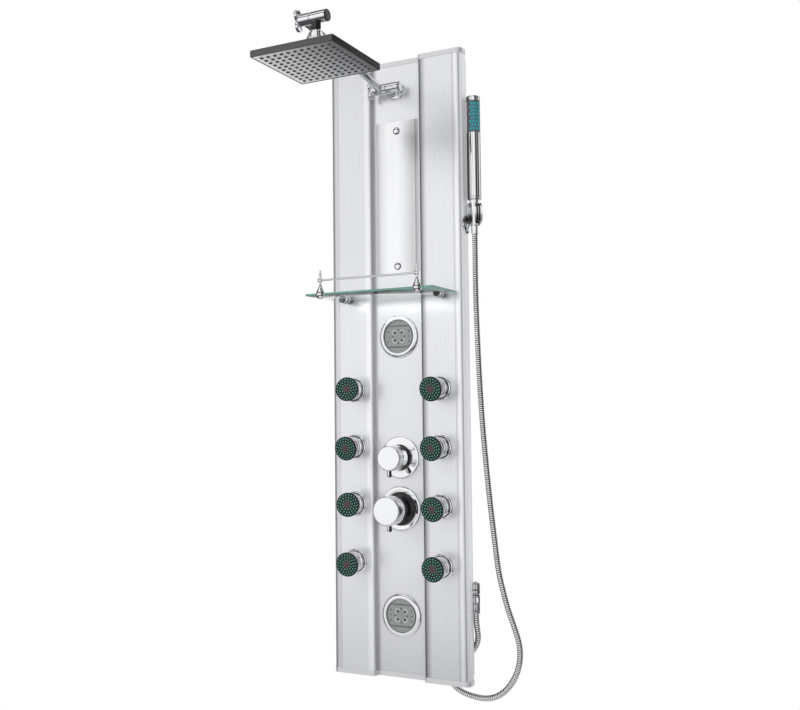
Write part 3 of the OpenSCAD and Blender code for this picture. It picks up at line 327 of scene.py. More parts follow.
TURQUOISE = surface("turquoise_rubber", tone(38, 158, 172), rough=0.45, vary=0.08, grain=900, tint=0.1)
GLASS = surface("shelf_glass_face", (0.93, 0.98, 0.96, 1), rough=0.01, vary=0.01, tint=0.02, grain=30,
                ior=1.45, clear=1)
GLASS_EDGE = surface("shelf_glass_edge", tone(104, 150, 136), rough=0.12, vary=0.04, grain=90, tint=0.12)

FINISH = {
    "panel": PANEL, "cap": CAP, "rail": RAIL, "bracket": STEEL, "plug": NYLON, "mirror": MIRROR,
    "chrome": CHROME, "glass": GLASS, "grey_plastic": GREY, "black_plastic": BLACK, "brass": BRASS,
    "head": ANTHRACITE, "head_plate": PLATE, "rubber": RUBBER, "hose": HOSE, "pipe": PIPE,
}
PILLARS = {"left_pillar": LEFT_PILLAR, "right_pillar": RIGHT_PILLAR}
for part in frame["record"]["subparts"]:
    mesh = cad[part["node"]].data
    mesh.materials.clear()
    mesh.materials.append(PILLARS.get(part["node"], FINISH[part["material_slot"]]))


# Mesh tools

def piece(name, bm, mats, body, replaces=(), sharp=34, rides=True):
    """Makes an object of a mesh; edges of more than sharp degrees stay sharp."""
    bmesh.ops.remove_doubles(bm, verts=bm.verts[:], dist=1e-7)
    bmesh.ops.recalc_face_normals(bm, faces=bm.faces[:])
    mesh = bpy.data.meshes.new(name)
    bm.to_mesh(mesh)
    bm.free()
    for mat in mats:
        mesh.materials.append(mat)
    mesh.shade_smooth()
    mesh.set_sharp_from_angle(angle=radians(sharp))
    obj = bpy.data.objects.new(name, mesh)
    scene.collection.objects.link(obj)
    if replaces:
        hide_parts(*replaces)
    if rides:
        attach(obj, body)
    return obj


def soft(outline, steps=5):
    """Rounds an outline of (distance, radius, fillet) points into one of (distance, radius) points."""
    out = []
    last = len(outline) - 1
    for i, (d, r, fillet) in enumerate(outline):
        here = Vector((d, r))
        if not fillet or i in (0, last):
            out.append((d, r))
            continue
        back = Vector(outline[i - 1][:2]) - here
        on = Vector(outline[i + 1][:2]) - here
        start = here + back.normalized() * min(fillet, back.length / 2)
        end = here + on.normalized() * min(fillet, on.length / 2)
        for k in range(steps + 1):
            t = k / steps
            p = (1 - t) ** 2 * start + 2 * t * (1 - t) * here + t * t * end
            out.append((p.x, p.y))
    return out


def basis(axis):
    axis = Vector(axis).normalized()
    side = axis.cross(Vector(UP))
    if side.length < 1e-3:
        side = axis.cross(Vector(BACK))
    side.normalize()
    return axis, side, axis.cross(side)


def circle(bm, centre, side, other, r, sides, turn=0):
    """A ring of vertices round centre, from the direction side towards the direction other."""
    made = []
    for k in range(sides):
        angle = turn + 2 * pi * k / sides
        made.append(bm.verts.new((centre + (side * cos(angle) + other * sin(angle)) * r) * MM))
    return made


def lathe(bm, outline, at, axis, sides=64, mat=0, place=None):
    """Turns an outline about an axis through at.

    Its points are (distance, radius), or (distance, radius, fillet) for soft to round. mat is the number of a
    material, or a function that gives it for the distance and radius at which a step starts.
    """
    profile = soft(outline) if len(outline[0]) == 3 else outline
    axis, side, other = basis(axis)
    at = Vector(at)
    rings = []
    for d, r in profile:
        centre = at + axis * d
        if r <= 1e-6:
            rings.append([bm.verts.new(centre * MM)])
        else:
            rings.append(circle(bm, centre, side, other, r, sides))
    if place:
        for v in (v for ring in rings for v in ring):
            v.co = place @ v.co
    for start, a, b in zip(profile, rings, rings[1:]):
        if len(a) == len(b) == 1:
            continue
        index = mat(*start) if callable(mat) else mat
        for k in range(sides):
            j = (k + 1) % sides
            if len(a) == 1:
                face = bm.faces.new((a[0], b[k], b[j]))
            elif len(b) == 1:
                face = bm.faces.new((a[k], b[0], a[j]))
            else:
                face = bm.faces.new((a[k], b[k], b[j], a[j]))
            face.material_index = index


def bridge(bm, rings, mat=None, ends=True):
    """Faces between closed rings of vertices, and over both ends.

    mat is a function that gives the number of a material for each ring's number and step.
    """
    count = len(rings[0])
    for n, (a, b) in enumerate(zip(rings, rings[1:])):
        for k in range(count):
            j = (k + 1) % count
            face = bm.faces.new((a[k], b[k], b[j], a[j]))
            if mat:
                face.material_index = mat(n, k)
    if ends:
        bm.faces.new(rings[0])
        bm.faces.new(rings[-1][::-1])


def block(bm, low, high, bevel, segments):
    """A box between two corners, with rounded edges."""
    made = bmesh.ops.create_cube(bm, size=1)["verts"]
    for v in made:
        v.co = Vector([a + (share + 0.5) * (b - a) for a, b, share in zip(low, high, v.co)]) * MM
    edges = list({e for v in made for e in v.link_edges})
    bmesh.ops.bevel(bm, geom=edges, offset=bevel * MM, segments=segments, affect="EDGES", profile=0.5)


def ball(bm, centre, r, sides, rings):
    profile = [(-r * cos(pi * k / rings), r * sin(pi * k / rings)) for k in range(rings + 1)]
    profile[0] = (-r, 0)
    profile[-1] = (r, 0)
    lathe(bm, profile, centre, UP, sides)


# The hose. Its route is repeated from the part's source

ROUTE = [
    (185, -34, -587), (185, -34, -601), (185, -32, -614), (184.5, -27, -629), (182.5, -20, -645),
    (177, -15, -661), (166, -12, -677), (149, -12, -691), (130, -12, -704), (115, -12, -719),
    (107, -12, -738), (111, -12, -757), (124, -12, -771), (145, -12, -780), (172, -13, -785),
    (200, -14, -785), (226, -15, -777), (248, -16, -761), (266, -17, -739), (279, -18, -712),
    (286, -19, -680), (284, -20, -648), (274, -22, -613), (262, -24, -578), (251, -26, -537),
    (240, -28, -485), (232, -31, -410), (223.5, -34, -323), (216, -37, -230), (210, -40, -137),
    (205.5, -42, -40), (203, -44, 45), (201.5, -45.5, 115), (201, -47, 183), (201.5, -48, 230),
    (202, -49, 264), (202, -49, 284), (202, -49, 300)]
# The radii along one rib, from the groove before it, and the rib's length
RIB = [5.9, 6.75, 6.98, 7, 6.98, 6.75]
RIB_PITCH = 5.0
# How far the ends of the hose run straight up and down
STRAIGHT = 7


def smooth_route(points, steps=24):
    points = [Vector(p) for p in points]
    last = len(points) - 1
    out = []
    for i in range(last):
        a, b, c, d = (points[max(0, min(last, i + k))] for k in (-1, 0, 1, 2))
        for k in range(steps):
            t = k / steps
            out.append(0.5 * (2 * b + (c - a) * t + (2 * a - 5 * b + 4 * c - d) * t * t
                              + (3 * b - a - 3 * c + d) * t ** 3))
    out.append(points[-1])
    return out


def make_hose(nut):
    line = smooth_route(ROUTE)
    run = [0.0]
    for a, b in zip(line, line[1:]):
        run.append(run[-1] + (b - a).length)
    length = run[-1]
    steps = int(length / RIB_PITCH) * len(RIB)
    side = Vector(BACK)
    bm = bmesh.new()
    rings = []
    k = 0
    for n in range(steps + 1):
        s = length * n / steps
        while k < len(run) - 2 and run[k + 1] < s:
            k += 1
        centre = line[k].lerp(line[k + 1], (s - run[k]) / max(1e-9, run[k + 1] - run[k]))
        heading = (line[min(k + 2, len(line) - 1)] - line[max(k - 1, 0)]).normalized()
        if s < STRAIGHT:
            heading = Vector(DOWN)
        if s > length - STRAIGHT:
            heading = Vector(UP)
        side = (side - heading * side.dot(heading)).normalized()
        rings.append(circle(bm, centre, side, heading.cross(side), RIB[n % len(RIB)], sides=18))
    # Each groove's faces take the dark steel, painted shade between the ribs.
    bridge(bm, rings, lambda n, k: int(n % len(RIB) in (0, len(RIB) - 1)))
    hose = piece("hose_ribbed", bm, [HOSE, HOSE_GROOVE], "panel", ["hose"], sharp=60, rides=False)
    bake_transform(hose)


# Mirror and shelf

MIRROR_CAP_ZS = (574, 239)
MIRROR_CAP_Y = -55.8
POST_XS = (-127, 127)
POST_Y = -210
GLASS_LOW, GLASS_HIGH = corners("shelf_glass")
GLASS_Z = (GLASS_LOW.z + GLASS_HIGH.z) / 2
CLAMP_Z = GLASS_Z - 2


def make_mirror():
    """A plate as thin as edge at its sides, and bowed forwards between them."""
    low, high = corners("mirror_plate")
    half, edge, bow, steps = high.x, 0.4, 2.6, 24
    bm = bmesh.new()
    rings = []
    for i in range(steps + 1):
        x = -half + 2 * half * i / steps
        front = high.y - edge - bow * (1 - (x / half) ** 2)
        section = ((front, low.z), (front, high.z), (high.y, high.z), (high.y, low.z))
        rings.append([bm.verts.new(Vector((x, y, z)) * MM) for y, z in section])
    bridge(bm, rings)
    piece("mirror_bowed", bm, [MIRROR], "panel", ["mirror_plate"])


def make_mirror_domes():
    """Domes on the mirror, each with a dark ring at its foot."""
    dome = [(0, 0, 0), (0, 9, 0), (1.6, 9, 0.6), (3.4, 7.2, 1.6), (4.5, 3.5, 1.5), (4.6, 0, 0)]
    bm = bmesh.new()
    for z in MIRROR_CAP_ZS:
        lathe(bm, dome, (0, MIRROR_CAP_Y, z), FRONT, 40, lambda d, r: int(d > 0.9 and r > 7.6))
    piece("mirror_domes", bm, [CHROME, HOSE_GROOVE], "panel", ["mirror_caps"])


def make_shelf_glass():
    bm = bmesh.new()
    block(bm, GLASS_LOW, GLASS_HIGH, bevel=0.7, segments=2)
    for face in bm.faces:
        face.material_index = int(abs(face.normal.z) <= 0.9)
    glass = piece("glass_shelf", bm, [GLASS, GLASS_EDGE], "panel", ["shelf_glass"])
    # The photo shows no shadow of it
    glass.visible_shadow = False
    glass.visible_diffuse = False


def make_shelf_posts():
    post = [(-11.3, 0, 0), (-11.3, 2.4, 0), (-9.6, 6.4, 1.5), (-4, 10.6, 3), (0.5, 11, 3), (6, 9.4, 3),
            (14, 5.4, 5), (22, 2.7, 3), (28.5, 2.4, 0.5), (28.5, 4.4, 0.6), (30.5, 4.4, 0.6),
            (30.5, 2.4, 0.3), (33, 2.4, 0), (44, 2.4, 0.5), (44, 3.4, 0.5), (46.5, 3.4, 0.5),
            (47.5, 2.4, 0.6), (55, 2.2, 1.4), (57, 0, 0)]
    knuckle = [(-6.2, 0, 0), (-6.2, 3.2, 0), (-5.2, 4.6, 1), (0, 5.2, 2), (5.2, 4.6, 1), (6.2, 3.2, 0),
               (6.2, 0, 0)]
    rail_up = 33
    bm = bmesh.new()
    for x in POST_XS:
        lathe(bm, post, (x, POST_Y, GLASS_Z), UP, 32)
        lathe(bm, knuckle, (x, POST_Y, GLASS_Z + rail_up), RIGHT, 28)
    piece("shelf_post_drops", bm, [CHROME], "panel", ["shelf_posts"])


def make_shelf_clamps():
    """Clamps with a black neck, and a grub screw under each."""
    clamp = [(0, 0, 0), (0, 10, 0), (2, 10, 0.6), (4, 8.2, 1.5), (4.6, 5.6, 0.8), (9, 5.2, 1), (11.5, 5.6, 1),
             (13, 8.4, 1.4), (15, 9, 1), (38, 9, 0.8), (39.4, 8.2, 0.9), (40, 6, 0.8), (40, 0, 0)]
    grub = [(8.6, 0, 0), (8.6, 3.4, 0), (10.2, 3.4, 0.8), (11, 2, 0.5), (11, 0, 0)]
    grub_y = PILLAR_Y - 27
    bm = bmesh.new()
    for x in POST_XS:
        lathe(bm, clamp, (x, PILLAR_Y, CLAMP_Z), FRONT, 40, lambda d, r: int(4.7 < d < 11 and r < 6))
        lathe(bm, grub, (x, grub_y, CLAMP_Z), DOWN, 24)
    piece("shelf_clamps", bm, [CLAMP_CHROME, BLACK], "panel", ["shelf_brackets"])


# Body jets. The angles in degrees are repeated from the part's source

JET_PANS = (10, 0, 10, 3, -4, -7, -3, -4)
JET_TILTS = (3, -7, 3, -5, -6, -4, -6, -2)


def make_jet_cups():
    cup = [(-29, 0, 0), (-29, 10, 0), (-0.2, 10, 0), (0, 30, 0), (2.4, 30, 0.8), (4.2, 28.4, 1.5),
           (5, 26.4, 1), (5.4, 24.6, 0.6), (9.2, 24.2, 0.4), (10.2, 23, 0.5), (12, 23, 0.5),
           (13, 24.9, 0.5), (23.2, 25, 1.2), (25, 23.4, 1), (25, 19.4, 0.6), (24.2, 18.4, 0.4),
           (14.5, 18.3, 0), (5, 8, 0), (5, 0, 0)]

    def black_in_groove_and_foot(d, r):
        """Black in the groove round the cup and round its foot."""
        return int(9.5 < d < 12.9 and 22.5 < r < 24.3 or 4.9 < d < 5.7 and 24.4 < r < 26.6)

    bm = bmesh.new()
    for x, _, z in JETS:
        lathe(bm, cup, (x, PILLAR_Y, z), FRONT, 56, black_in_groove_and_foot)
    piece("jet_cups", bm, [CHROME, BLACK], "panel", ["jet_flanges"])


def make_jet_bells():
    back = [(17.2, 0), (17.2, 5), (16, 9.5), (13.8, 13)]
    shell = [(12.4, 14.2, 0), (12.4, 15.2, 0.8), (14.6, 19.6, 2), (16.6, 26.4, 2.4), (19, 28.2, 2),
             (22.2, 28.2, 0.3), (22.5, 27.6, 0)]
    rim = [(23.1, 27.6), (23.4, 29), (26.6, 29), (27.5, 28.7), (27.9, 28), (27.9, 27.2), (27.5, 26.8)]
    face = [(27.7, 26), (28, 17), (28, 9)]
    heart = [(28.05, 8.6), (28.2, 4), (28.25, 0)]
    profile = back + soft(shell) + rim + face + heart
    mats = [CHROME, JET_RIM, JET_FACE, JET_HEART, JET_NUB]
    heart_mat, nub_mat = 3, 4
    nub = [(27.7, 1.45), (28.4, 1.35), (28.8, 0.9), (28.95, 0)]
    # Radius, count and material of each ring of nubs, and its turn, in steps for a millimetre of radius
    nub_rings = [(0, 1, heart_mat), (5, 6, heart_mat), (11.8, 11, nub_mat), (18, 16, nub_mat),
                 (24, 21, nub_mat)]
    twist = 0.37

    def skin(d, r):
        """Chrome on back and shell, and then the rim, the face and the heart."""
        return int(d >= shell[-1][0]) * (1 + (r <= rim[-1][1]) + (r <= face[-1][1]))

    for n, (at, pan, tilt) in enumerate(zip(JETS, JET_PANS, JET_TILTS), 1):
        place = (Matrix.Translation(at * MM) @ Matrix.Rotation(radians(pan), 4, "Z")
                 @ Matrix.Rotation(radians(-tilt), 4, "X"))
        bm = bmesh.new()
        lathe(bm, profile, (0, 0, 0), FRONT, 56, skin, place)
        for r, count, mat in nub_rings:
            for k in range(count):
                angle = 2 * pi * (k + twist * r) / count
                lathe(bm, nub, (r * cos(angle), 0, r * sin(angle)), FRONT, 8, mat, place)
        head = "jet_head_%d" % n
        piece("jet_bell_%d" % n, bm, mats, head, [head])


# Tilting drums

DRUM_FACE_Y = corners("upper_drum")[0].y


def make_trim_rings():
    ring = [(2.4, 46.6, 0), (0, 46.6, 0), (0, 52, 0), (2.6, 52, 1), (4.6, 50.6, 1.6), (6.4, 47.5, 1.6),
            (7, 45, 1), (7, 41.6, 0.8), (6.2, 40.2, 0.5), (2.4, 40.2, 0), (2.4, 46.6, 0)]
    bm = bmesh.new()
    for z in DRUM_ZS.values():
        lathe(bm, ring, (0, CHANNEL_Y, z), FRONT, 96)
    piece("trim_rings", bm, [CHROME], "panel", ["drum_rings"])


def crescent(bm, centre, opening):
    """A raised lip like a C, thinner at both tips, that opens at the given angle."""
    steps, lip_r, thickest = 18, 5.8, 1.6
    half_gap, tip_share = 55, 0.12
    rings = []
    for n in range(steps + 1):
        angle = opening + radians(half_gap + (360 - 2 * half_gap) * n / steps)
        out = Vector((cos(angle), 0, sin(angle)))
        thick = thickest * sin(pi * (tip_share + (1 - 2 * tip_share) * n / steps))
        rings.append(circle(bm, centre + out * lip_r, out, Vector(FRONT), thick, sides=8))
    bridge(bm, rings)


def make_drum_outlets():
    """Four crescent outlets on each drum, with small holes between and beside them."""
    corner, cross_r, side_x, side_pitch = 9.5, 17, 28, 13
    disc = [(-0.2, 3.3), (0.08, 3.3), (0.08, 0)]
    hole = [(0.05, 0), (0.05, 1.7), (0.02, 1.75)]
    holes = [(cross_r * cos(a), cross_r * sin(a)) for a in (0, pi / 2, pi, 3 * pi / 2)]
    holes += [(sx * side_x, k * side_pitch) for sx in (-1, 1) for k in (-1, 0, 1)]
    for name, z in DRUM_ZS.items():
        bm = bmesh.new()
        for sx in (-1, 1):
            for sz in (-1, 1):
                centre = Vector((sx * corner, DRUM_FACE_Y, z + sz * corner))
                crescent(bm, centre, atan2(-sz, -sx))
                lathe(bm, disc, centre, FRONT, 20, 1)
        for x, up in holes:
            lathe(bm, hole, (x, DRUM_FACE_Y, z + up), FRONT, 12, 1)
        piece(name + "_drum_outlets", bm, [PALE_GREY, DARK_GREY], name + "_drum")


def make_drum_painted_shadow_gaps():
    """Dark strips over and under each drum, on its housing: painted shadow in the gaps round the drum."""
    half_w, half_h, rise = 27.5, 0.9, 26.2
    front, back = -56.3, -55.9
    bm = bmesh.new()
    for z in DRUM_ZS.values():
        for middle in (z - rise, z + rise):
            low, high = (-half_w, front, middle - half_h), (half_w, back, middle + half_h)
            block(bm, low, high, bevel=0.1, segments=1)
    piece("drum_painted_shadow_gaps", bm, [DARK_GREY], "panel")


# Diverter and mixer

def lever(bm, y, z, length):
    """A pin that hangs down from a knob."""
    pin = [(0, 0, 0), (0, 5.2, 0), (length - 7, 5.2, 0.4), (length - 6.4, 5.9, 0.5), (length - 1.6, 5.9, 1.4),
           (length, 3.4, 1), (length, 0, 0)]
    lathe(bm, pin, (0, y, z), DOWN, 32, 1)


def make_diverter():
    at = pivot("diverter_turn")
    rose = [(0, 0, 0), (0, 51, 0), (2.2, 51, 0.8), (3.6, 49.8, 0.8), (4, 47, 0.8), (4, 31.6, 0),
            (4.2, 30.6, 0.4), (11.8, 30.2, 0.8), (13, 29, 0.6), (13, 10.4, 0), (3, 10.4, 0), (3, 0, 0)]
    bm = bmesh.new()
    # The black on the collar round the knob's stem is painted shade.
    lathe(bm, rose, (0, CHANNEL_Y, at.z), FRONT, 96, lambda d, r: int(d > 2.9 and r < 31.7))
    piece("diverter_rose", bm, [CHROME, BLACK], "panel", ["diverter_plate"])
    knob = [(1, 0, 0), (1, 23, 0), (1.4, 24.8, 0.5), (4.2, 27, 1.2), (5.2, 29.2, 0.8), (7, 29.8, 0.6),
            (47.6, 30.2, 1), (49.8, 29.2, 1.6), (50.5, 26.8, 1.2), (50.5, 0, 0)]
    stem = [(-17, 0), (-17, 4), (2, 4), (2, 0)]
    lever_out, lever_down = 44, 24
    bm = bmesh.new()
    lathe(bm, knob, at, FRONT, 80)
    lathe(bm, stem, at, FRONT, 24)
    lever(bm, at.y - lever_out, at.z - lever_down, length=20.5)
    piece("diverter_handle", bm, [CHROME, PIN_CHROME], "diverter_knob", ["diverter_knob"])


def make_mixer():
    at = pivot("mixer_turn")
    rose_t = 5
    rose = [(0, 0, 0), (0, 54, 0), (2.8, 54, 0.9), (4.4, 52.6, 0.9), (rose_t, 49.6, 1), (rose_t, 39, 0),
            (4.4, 38, 0), (4.4, 0, 0)]
    bm = bmesh.new()
    lathe(bm, rose, (0, CHANNEL_Y, at.z), FRONT, 96)
    piece("mixer_rose", bm, [CHROME], "panel", ["mixer_plate"])
    collar = [(0, 0, 0), (0, 40, 0), (2.2, 40, 0.9), (4.4, 38, 1.4), (5, 34, 1.2), (5.4, 27, 1.5),
              (7.6, 19.5, 2), (10, 17, 0.8), (10, 8.5, 0), (0, 8.5, 0)]
    bm = bmesh.new()
    lathe(bm, collar, (0, CHANNEL_Y - rose_t, at.z), FRONT, 80)
    piece("mixer_dark_dome", bm, [BLACK], "panel", ["mixer_collar"])
    # The knob's inside clears the ball of the spindle
    inside = [(14.4, 0), (13.2, 5.6), (8.8, 11.4), (2.5, 14.2), (0, 16)]
    knob = [(-5.9, 26.4, 0), (-6, 28, 0.5), (-4.8, 28.8, 0.4), (18.6, 34, 0.6), (20, 34.6, 0.6),
            (50.2, 35, 1), (52.3, 33.8, 1.6), (53, 31, 1.3), (53, 0, 0)]
    lever_out, lever_down = 33, 28
    bm = bmesh.new()
    lathe(bm, inside + soft(knob), at, FRONT, 80)
    lever(bm, at.y - lever_out, at.z - lever_down, length=21)
    piece("mixer_handle", bm, [CHROME, PIN_CHROME], "mixer_knob", ["mixer_knob"])


# Arm and overhead shower

# The hinge barrels, the radius to which their edges fall, and their bore
BARREL_R = 13
EDGE_R = 12.2
BORE_R = 4.2


def make_arm_foot():
    flange = [(-17, 0, 0), (-17, 10, 0), (-0.2, 10, 0), (0, 22, 0), (2.2, 22, 0.8), (4, 20, 1.4),
              (4.6, 13, 1.5), (7, 10.4, 1.5), (14, 10, 0), (27, 10, 0), (27, 0, 0)]
    barrel = [(-12, 0, 0), (-12, EDGE_R, 0), (-11.2, BARREL_R, 0.6), (20.4, BARREL_R, 0.5), (21.2, 11.6, 0.4),
              (22.4, 11.6, 0.4)]
    black_ring = [(22.4, 11.6, 0), (22.6, 12.4, 0.4), (23.6, 12.4, 0.5), (24.2, 11.6, 0.4)]
    cap = [(24.2, 11.6, 0), (24.8, 9.6, 1), (25, 0, 0)]
    bm = bmesh.new()
    lathe(bm, flange, (0, CHANNEL_Y, ARM_HINGE.z), FRONT, 56)
    lathe(bm, barrel, ARM_HINGE, RIGHT, 56)
    lathe(bm, black_ring, ARM_HINGE, RIGHT, 56, 1)
    lathe(bm, cap, ARM_HINGE, RIGHT, 56)
    piece("arm_foot", bm, [CHROME, BLACK], "panel", ["arm_base"])


def make_arm_pipe():
    inner_end = [(-13.2, BARREL_R, 0.7), (-12.3, EDGE_R, 0), (-12.3, BORE_R, 0)]
    lower_barrel = [(-46, BORE_R, 0), (-46, 11, 0), (-45, BARREL_R, 1)] + inner_end
    upper_barrel = [(-40, BORE_R, 0), (-40, 12, 0), (-39.2, BARREL_R, 0.8)] + inner_end
    aside = Vector((-30, 0, 0))
    way = NECK_HINGE - ARM_HINGE
    run = way.length
    tube = [(0, 0, 0), (0, 9, 0), (13, 9, 0), (13.5, 10.2, 0.5), (17, 10.2, 0.8), (18, 9, 0.5),
            (run - 19, 9, 0), (run - 18, 10, 0.5), (run - 14.5, 10, 0.6), (run - 13.8, 9, 0.3), (run, 9, 0),
            (run, 0, 0)]
    bm = bmesh.new()
    lathe(bm, lower_barrel, ARM_HINGE, RIGHT, 56)
    lathe(bm, upper_barrel, NECK_HINGE, RIGHT, 56)
    lathe(bm, tube, ARM_HINGE + aside, way, 48)
    piece("arm_pipe", bm, [CHROME], "arm", ["arm_tube"])


def wing(bm, x0, x1, r, at, turn):
    """Butterfly wings of a thumb screw: two lobes on a waist, rounded all round."""
    steps = 64
    waist = 6.2
    place = Matrix.Translation(Vector(at) * MM) @ Matrix.Rotation(radians(turn), 4, "X")
    outline = []
    for k in range(steps):
        a = 2 * pi * k / steps
        lobe = abs(sin(a))
        reach = waist + (r - waist) * lobe ** 1.6
        width = 1.0 - 0.32 * lobe ** 3
        outline.append((reach * cos(a) * (0.85 + 0.6 * lobe ** 2) * width, reach * sin(a)))
    # The outline grows from both faces to the middle, and less in height than in width
    layers = [(x0, 0.82), (x0 + 0.8, 0.95), (x0 + 2, 1), (x1 - 2, 1), (x1 - 0.8, 0.95), (x1, 0.84)]
    rings = []
    for x, share in layers:
        tall = 1 - (1 - share) * 0.5
        rings.append([bm.verts.new(place @ (Vector((x, p * share, q * tall)) * MM)) for p, q in outline])
    bridge(bm, rings, ends=False)
    for ring in (rings[0], rings[-1]):
        hub = bm.verts.new(sum((v.co for v in ring), Vector()) / steps)
        for k in range(steps):
            bm.faces.new((ring[k], ring[(k + 1) % steps], hub))


def make_thumb_screw(name, at, hub, hub_r, wing_r, barrel):
    """hub is where the screw's hub begins and barrel where the arm's barrel does, along the hinge's axis."""
    bolt_r, bolt_end = 4, 22
    screw = [(hub, 0, 0), (hub, hub_r - 1.5, 0), (hub + 1.2, hub_r, 0.8), (barrel - 1.4, hub_r, 0.6),
             (barrel - 0.4, hub_r - 1, 0), (barrel - 0.4, bolt_r, 0), (bolt_end, bolt_r, 0), (bolt_end, 0, 0)]
    bm = bmesh.new()
    lathe(bm, screw, at, RIGHT, 48)
    wing(bm, hub - 7, hub + 0.6, wing_r, at, turn=12)
    piece(name + "_butterfly", bm, [CHROME], name + "_thumb", [name + "_thumb_screw"])


def make_neck():
    barrel = [(-12, BORE_R, 0), (-12, EDGE_R, 0), (-11.2, BARREL_R, 0.7), (26.4, BARREL_R, 0.6),
              (27, 12.4, 0.3)]
    cap = [(27, 12.4, 0), (27.2, 13, 0.3), (28.8, 13, 0.7), (30, 11.8, 0.8), (30, 9.6, 0.4), (29, 9, 0.3),
           (29, 5, 0), (29.6, 4.4, 0.3), (29.6, 0, 0)]
    stem = [(-40, 0), (-40, 6.2), (-26, 6.2), (-26, 0)]
    ball_r = 13
    bm = bmesh.new()
    lathe(bm, barrel, NECK_HINGE, RIGHT, 56)
    lathe(bm, cap, NECK_HINGE, RIGHT, 56, 1)
    # Six-sided block under the barrel, with four of its sides black
    squeeze = 0.84
    rings = []
    for z, r in ((-9, 12.4), (-10.5, 14.2), (-25.5, 14.2), (-27, 12.8), (-27.4, 7.2)):
        middle = NECK_HINGE + Vector((0, 0, z))
        rings.append(circle(bm, middle, Vector(RIGHT), Vector(BACK), r * squeeze, sides=6))
    bridge(bm, rings, lambda n, k: int(k % 3 != 0))
    lathe(bm, stem, NECK_HINGE, UP, 32)
    ball(bm, HEAD_BALL, ball_r, sides=32, rings=20)
    piece("neck_joint", bm, [CHROME, BLACK], "neck", ["arm_neck"])


def make_ball_nut():
    nut_r = 22
    nut = [(-16, 12.2, 0), (-16, 20.6, 0), (-14.6, nut_r, 1), (-3, nut_r, 0.6), (-1.6, 21, 0.6), (9, 16.8, 1),
           (12.6, 15.2, 0.8), (14, 14.2, 0.6), (14, 12.7, 0), (9, 12.7, 0), (4, 13.3, 0), (-8, 13.3, 0),
           (-13, 12.2, 0), (-16, 12.2, 0)]
    rib = [(-14, 0, 0), (-14, 1.1, 0), (-4, 1.1, 0.6), (-3, 0, 0)]
    rib_count = 12
    bm = bmesh.new()
    lathe(bm, nut, HEAD_BALL, UP, 64)
    for k in range(rib_count):
        angle = 2 * pi * k / rib_count
        lathe(bm, rib, HEAD_BALL + nut_r * Vector((cos(angle), sin(angle), 0)), UP, 10)
    piece("ball_nut_ribbed", bm, [CHROME], "ball_nut", ["ball_nut"])


HEAD_CORNER_LOW, HEAD_CORNER_HIGH = corners("head_shell")
HEAD_LOW = HEAD_CORNER_LOW.z
HEAD_HIGH = HEAD_LOW + 14.7


def make_head_casing():
    half, head_y = HEAD_CORNER_HIGH.x, HEAD_BALL.y
    corner_steps = 5
    recess = 3.5
    # Heights, and how far the square is drawn in there
    layers = [(HEAD_LOW, 3.4), (HEAD_LOW, 0.9), (HEAD_LOW + 0.6, 0.2), (HEAD_LOW + 1.4, 0),
              (HEAD_HIGH - 2.2, 0), (HEAD_HIGH - 0.9, 0.5), (HEAD_HIGH, 2), (HEAD_HIGH + 0.8, 12),
              (HEAD_HIGH + 2.6, 60)]
    boss = [(-1, 0, 0), (-1, 34, 0), (3, 33, 2), (11, 20.5, 7), (15, 19, 3), (22, 19, 0.5), (24.2, 18, 1),
            (24.2, 11.7, 0), (26.4, 11.7, 0), (26.4, 0, 0)]
    bm = bmesh.new()
    rings = []
    for z, inset in layers:
        h = half - inset
        corner_r = max(0.6, 3.2 - inset * 0.3)
        straight = h - corner_r
        rings.append([])
        for sx, sy, start in ((1, 1, 0), (-1, 1, 90), (-1, -1, 180), (1, -1, 270)):
            for k in range(corner_steps):
                a = radians(start + 90 * k / (corner_steps - 1))
                x = sx * straight + corner_r * cos(a)
                y = head_y + sy * straight + corner_r * sin(a)
                rings[-1].append(bm.verts.new(Vector((x, y, z)) * MM))
    # The floor of the recess that takes the plate
    inner = [bm.verts.new((v.co.x, v.co.y, (HEAD_LOW + recess) * MM)) for v in rings[0]]
    bridge(bm, [inner] + rings)
    lathe(bm, boss, (0, head_y, HEAD_HIGH), UP, 64, 1)
    piece("head_casing", bm, [ANTHRACITE, CHROME], "head", ["head_shell"])


def make_nozzle_collars():
    """A soft collar round each nozzle, under the plate."""
    rows, pitch = 11, 16.6
    collar = [(0.2, 2.3), (0.2, 4.7), (-0.5, 4.6), (-1.1, 4.1), (-1.3, 3.3), (-0.9, 2.6), (-0.3, 2.3)]
    bm = bmesh.new()
    for i in range(rows):
        for k in range(rows):
            x, y = pitch * (i - rows // 2), HEAD_BALL.y + pitch * (k - rows // 2)
            lathe(bm, collar, (x, y, HEAD_LOW + 0.5), UP, 14)
    piece("nozzle_collars", bm, [COLLAR], "head")


# Hand shower and its holder

# Where the spray band runs, above the lower end of the hand shower
SPRAY_LOW = 161
SPRAY_HIGH = 236


def make_handset():
    low, high = SPRAY_LOW, SPRAY_HIGH
    body = [(0, 0, 0), (0, 14.6, 0), (0.8, 16, 0.8), (2.4, 16.4, 0.5), (6, 16.5, 0.4), (6.6, 15.9, 0.3),
            (7.6, 15.9, 0.3), (8.2, 16.5, 0.4), (159.4, 16.5, 0.4), (160.2, 15.8, 0.3), (low, 15.8, 0),
            (low, 12, 0), (high, 12, 0), (high, 15.9, 0), (236.6, 16.5, 0.3), (245.6, 16.5, 1.2),
            (248.2, 15.4, 1.4), (249, 12.6, 1.5), (249, 0, 0)]
    bm = bmesh.new()
    lathe(bm, body, HANDSET, UP, 56)
    piece("hand_shower_tube", bm, [TUBE_CHROME], "handset", ["handset_body"])


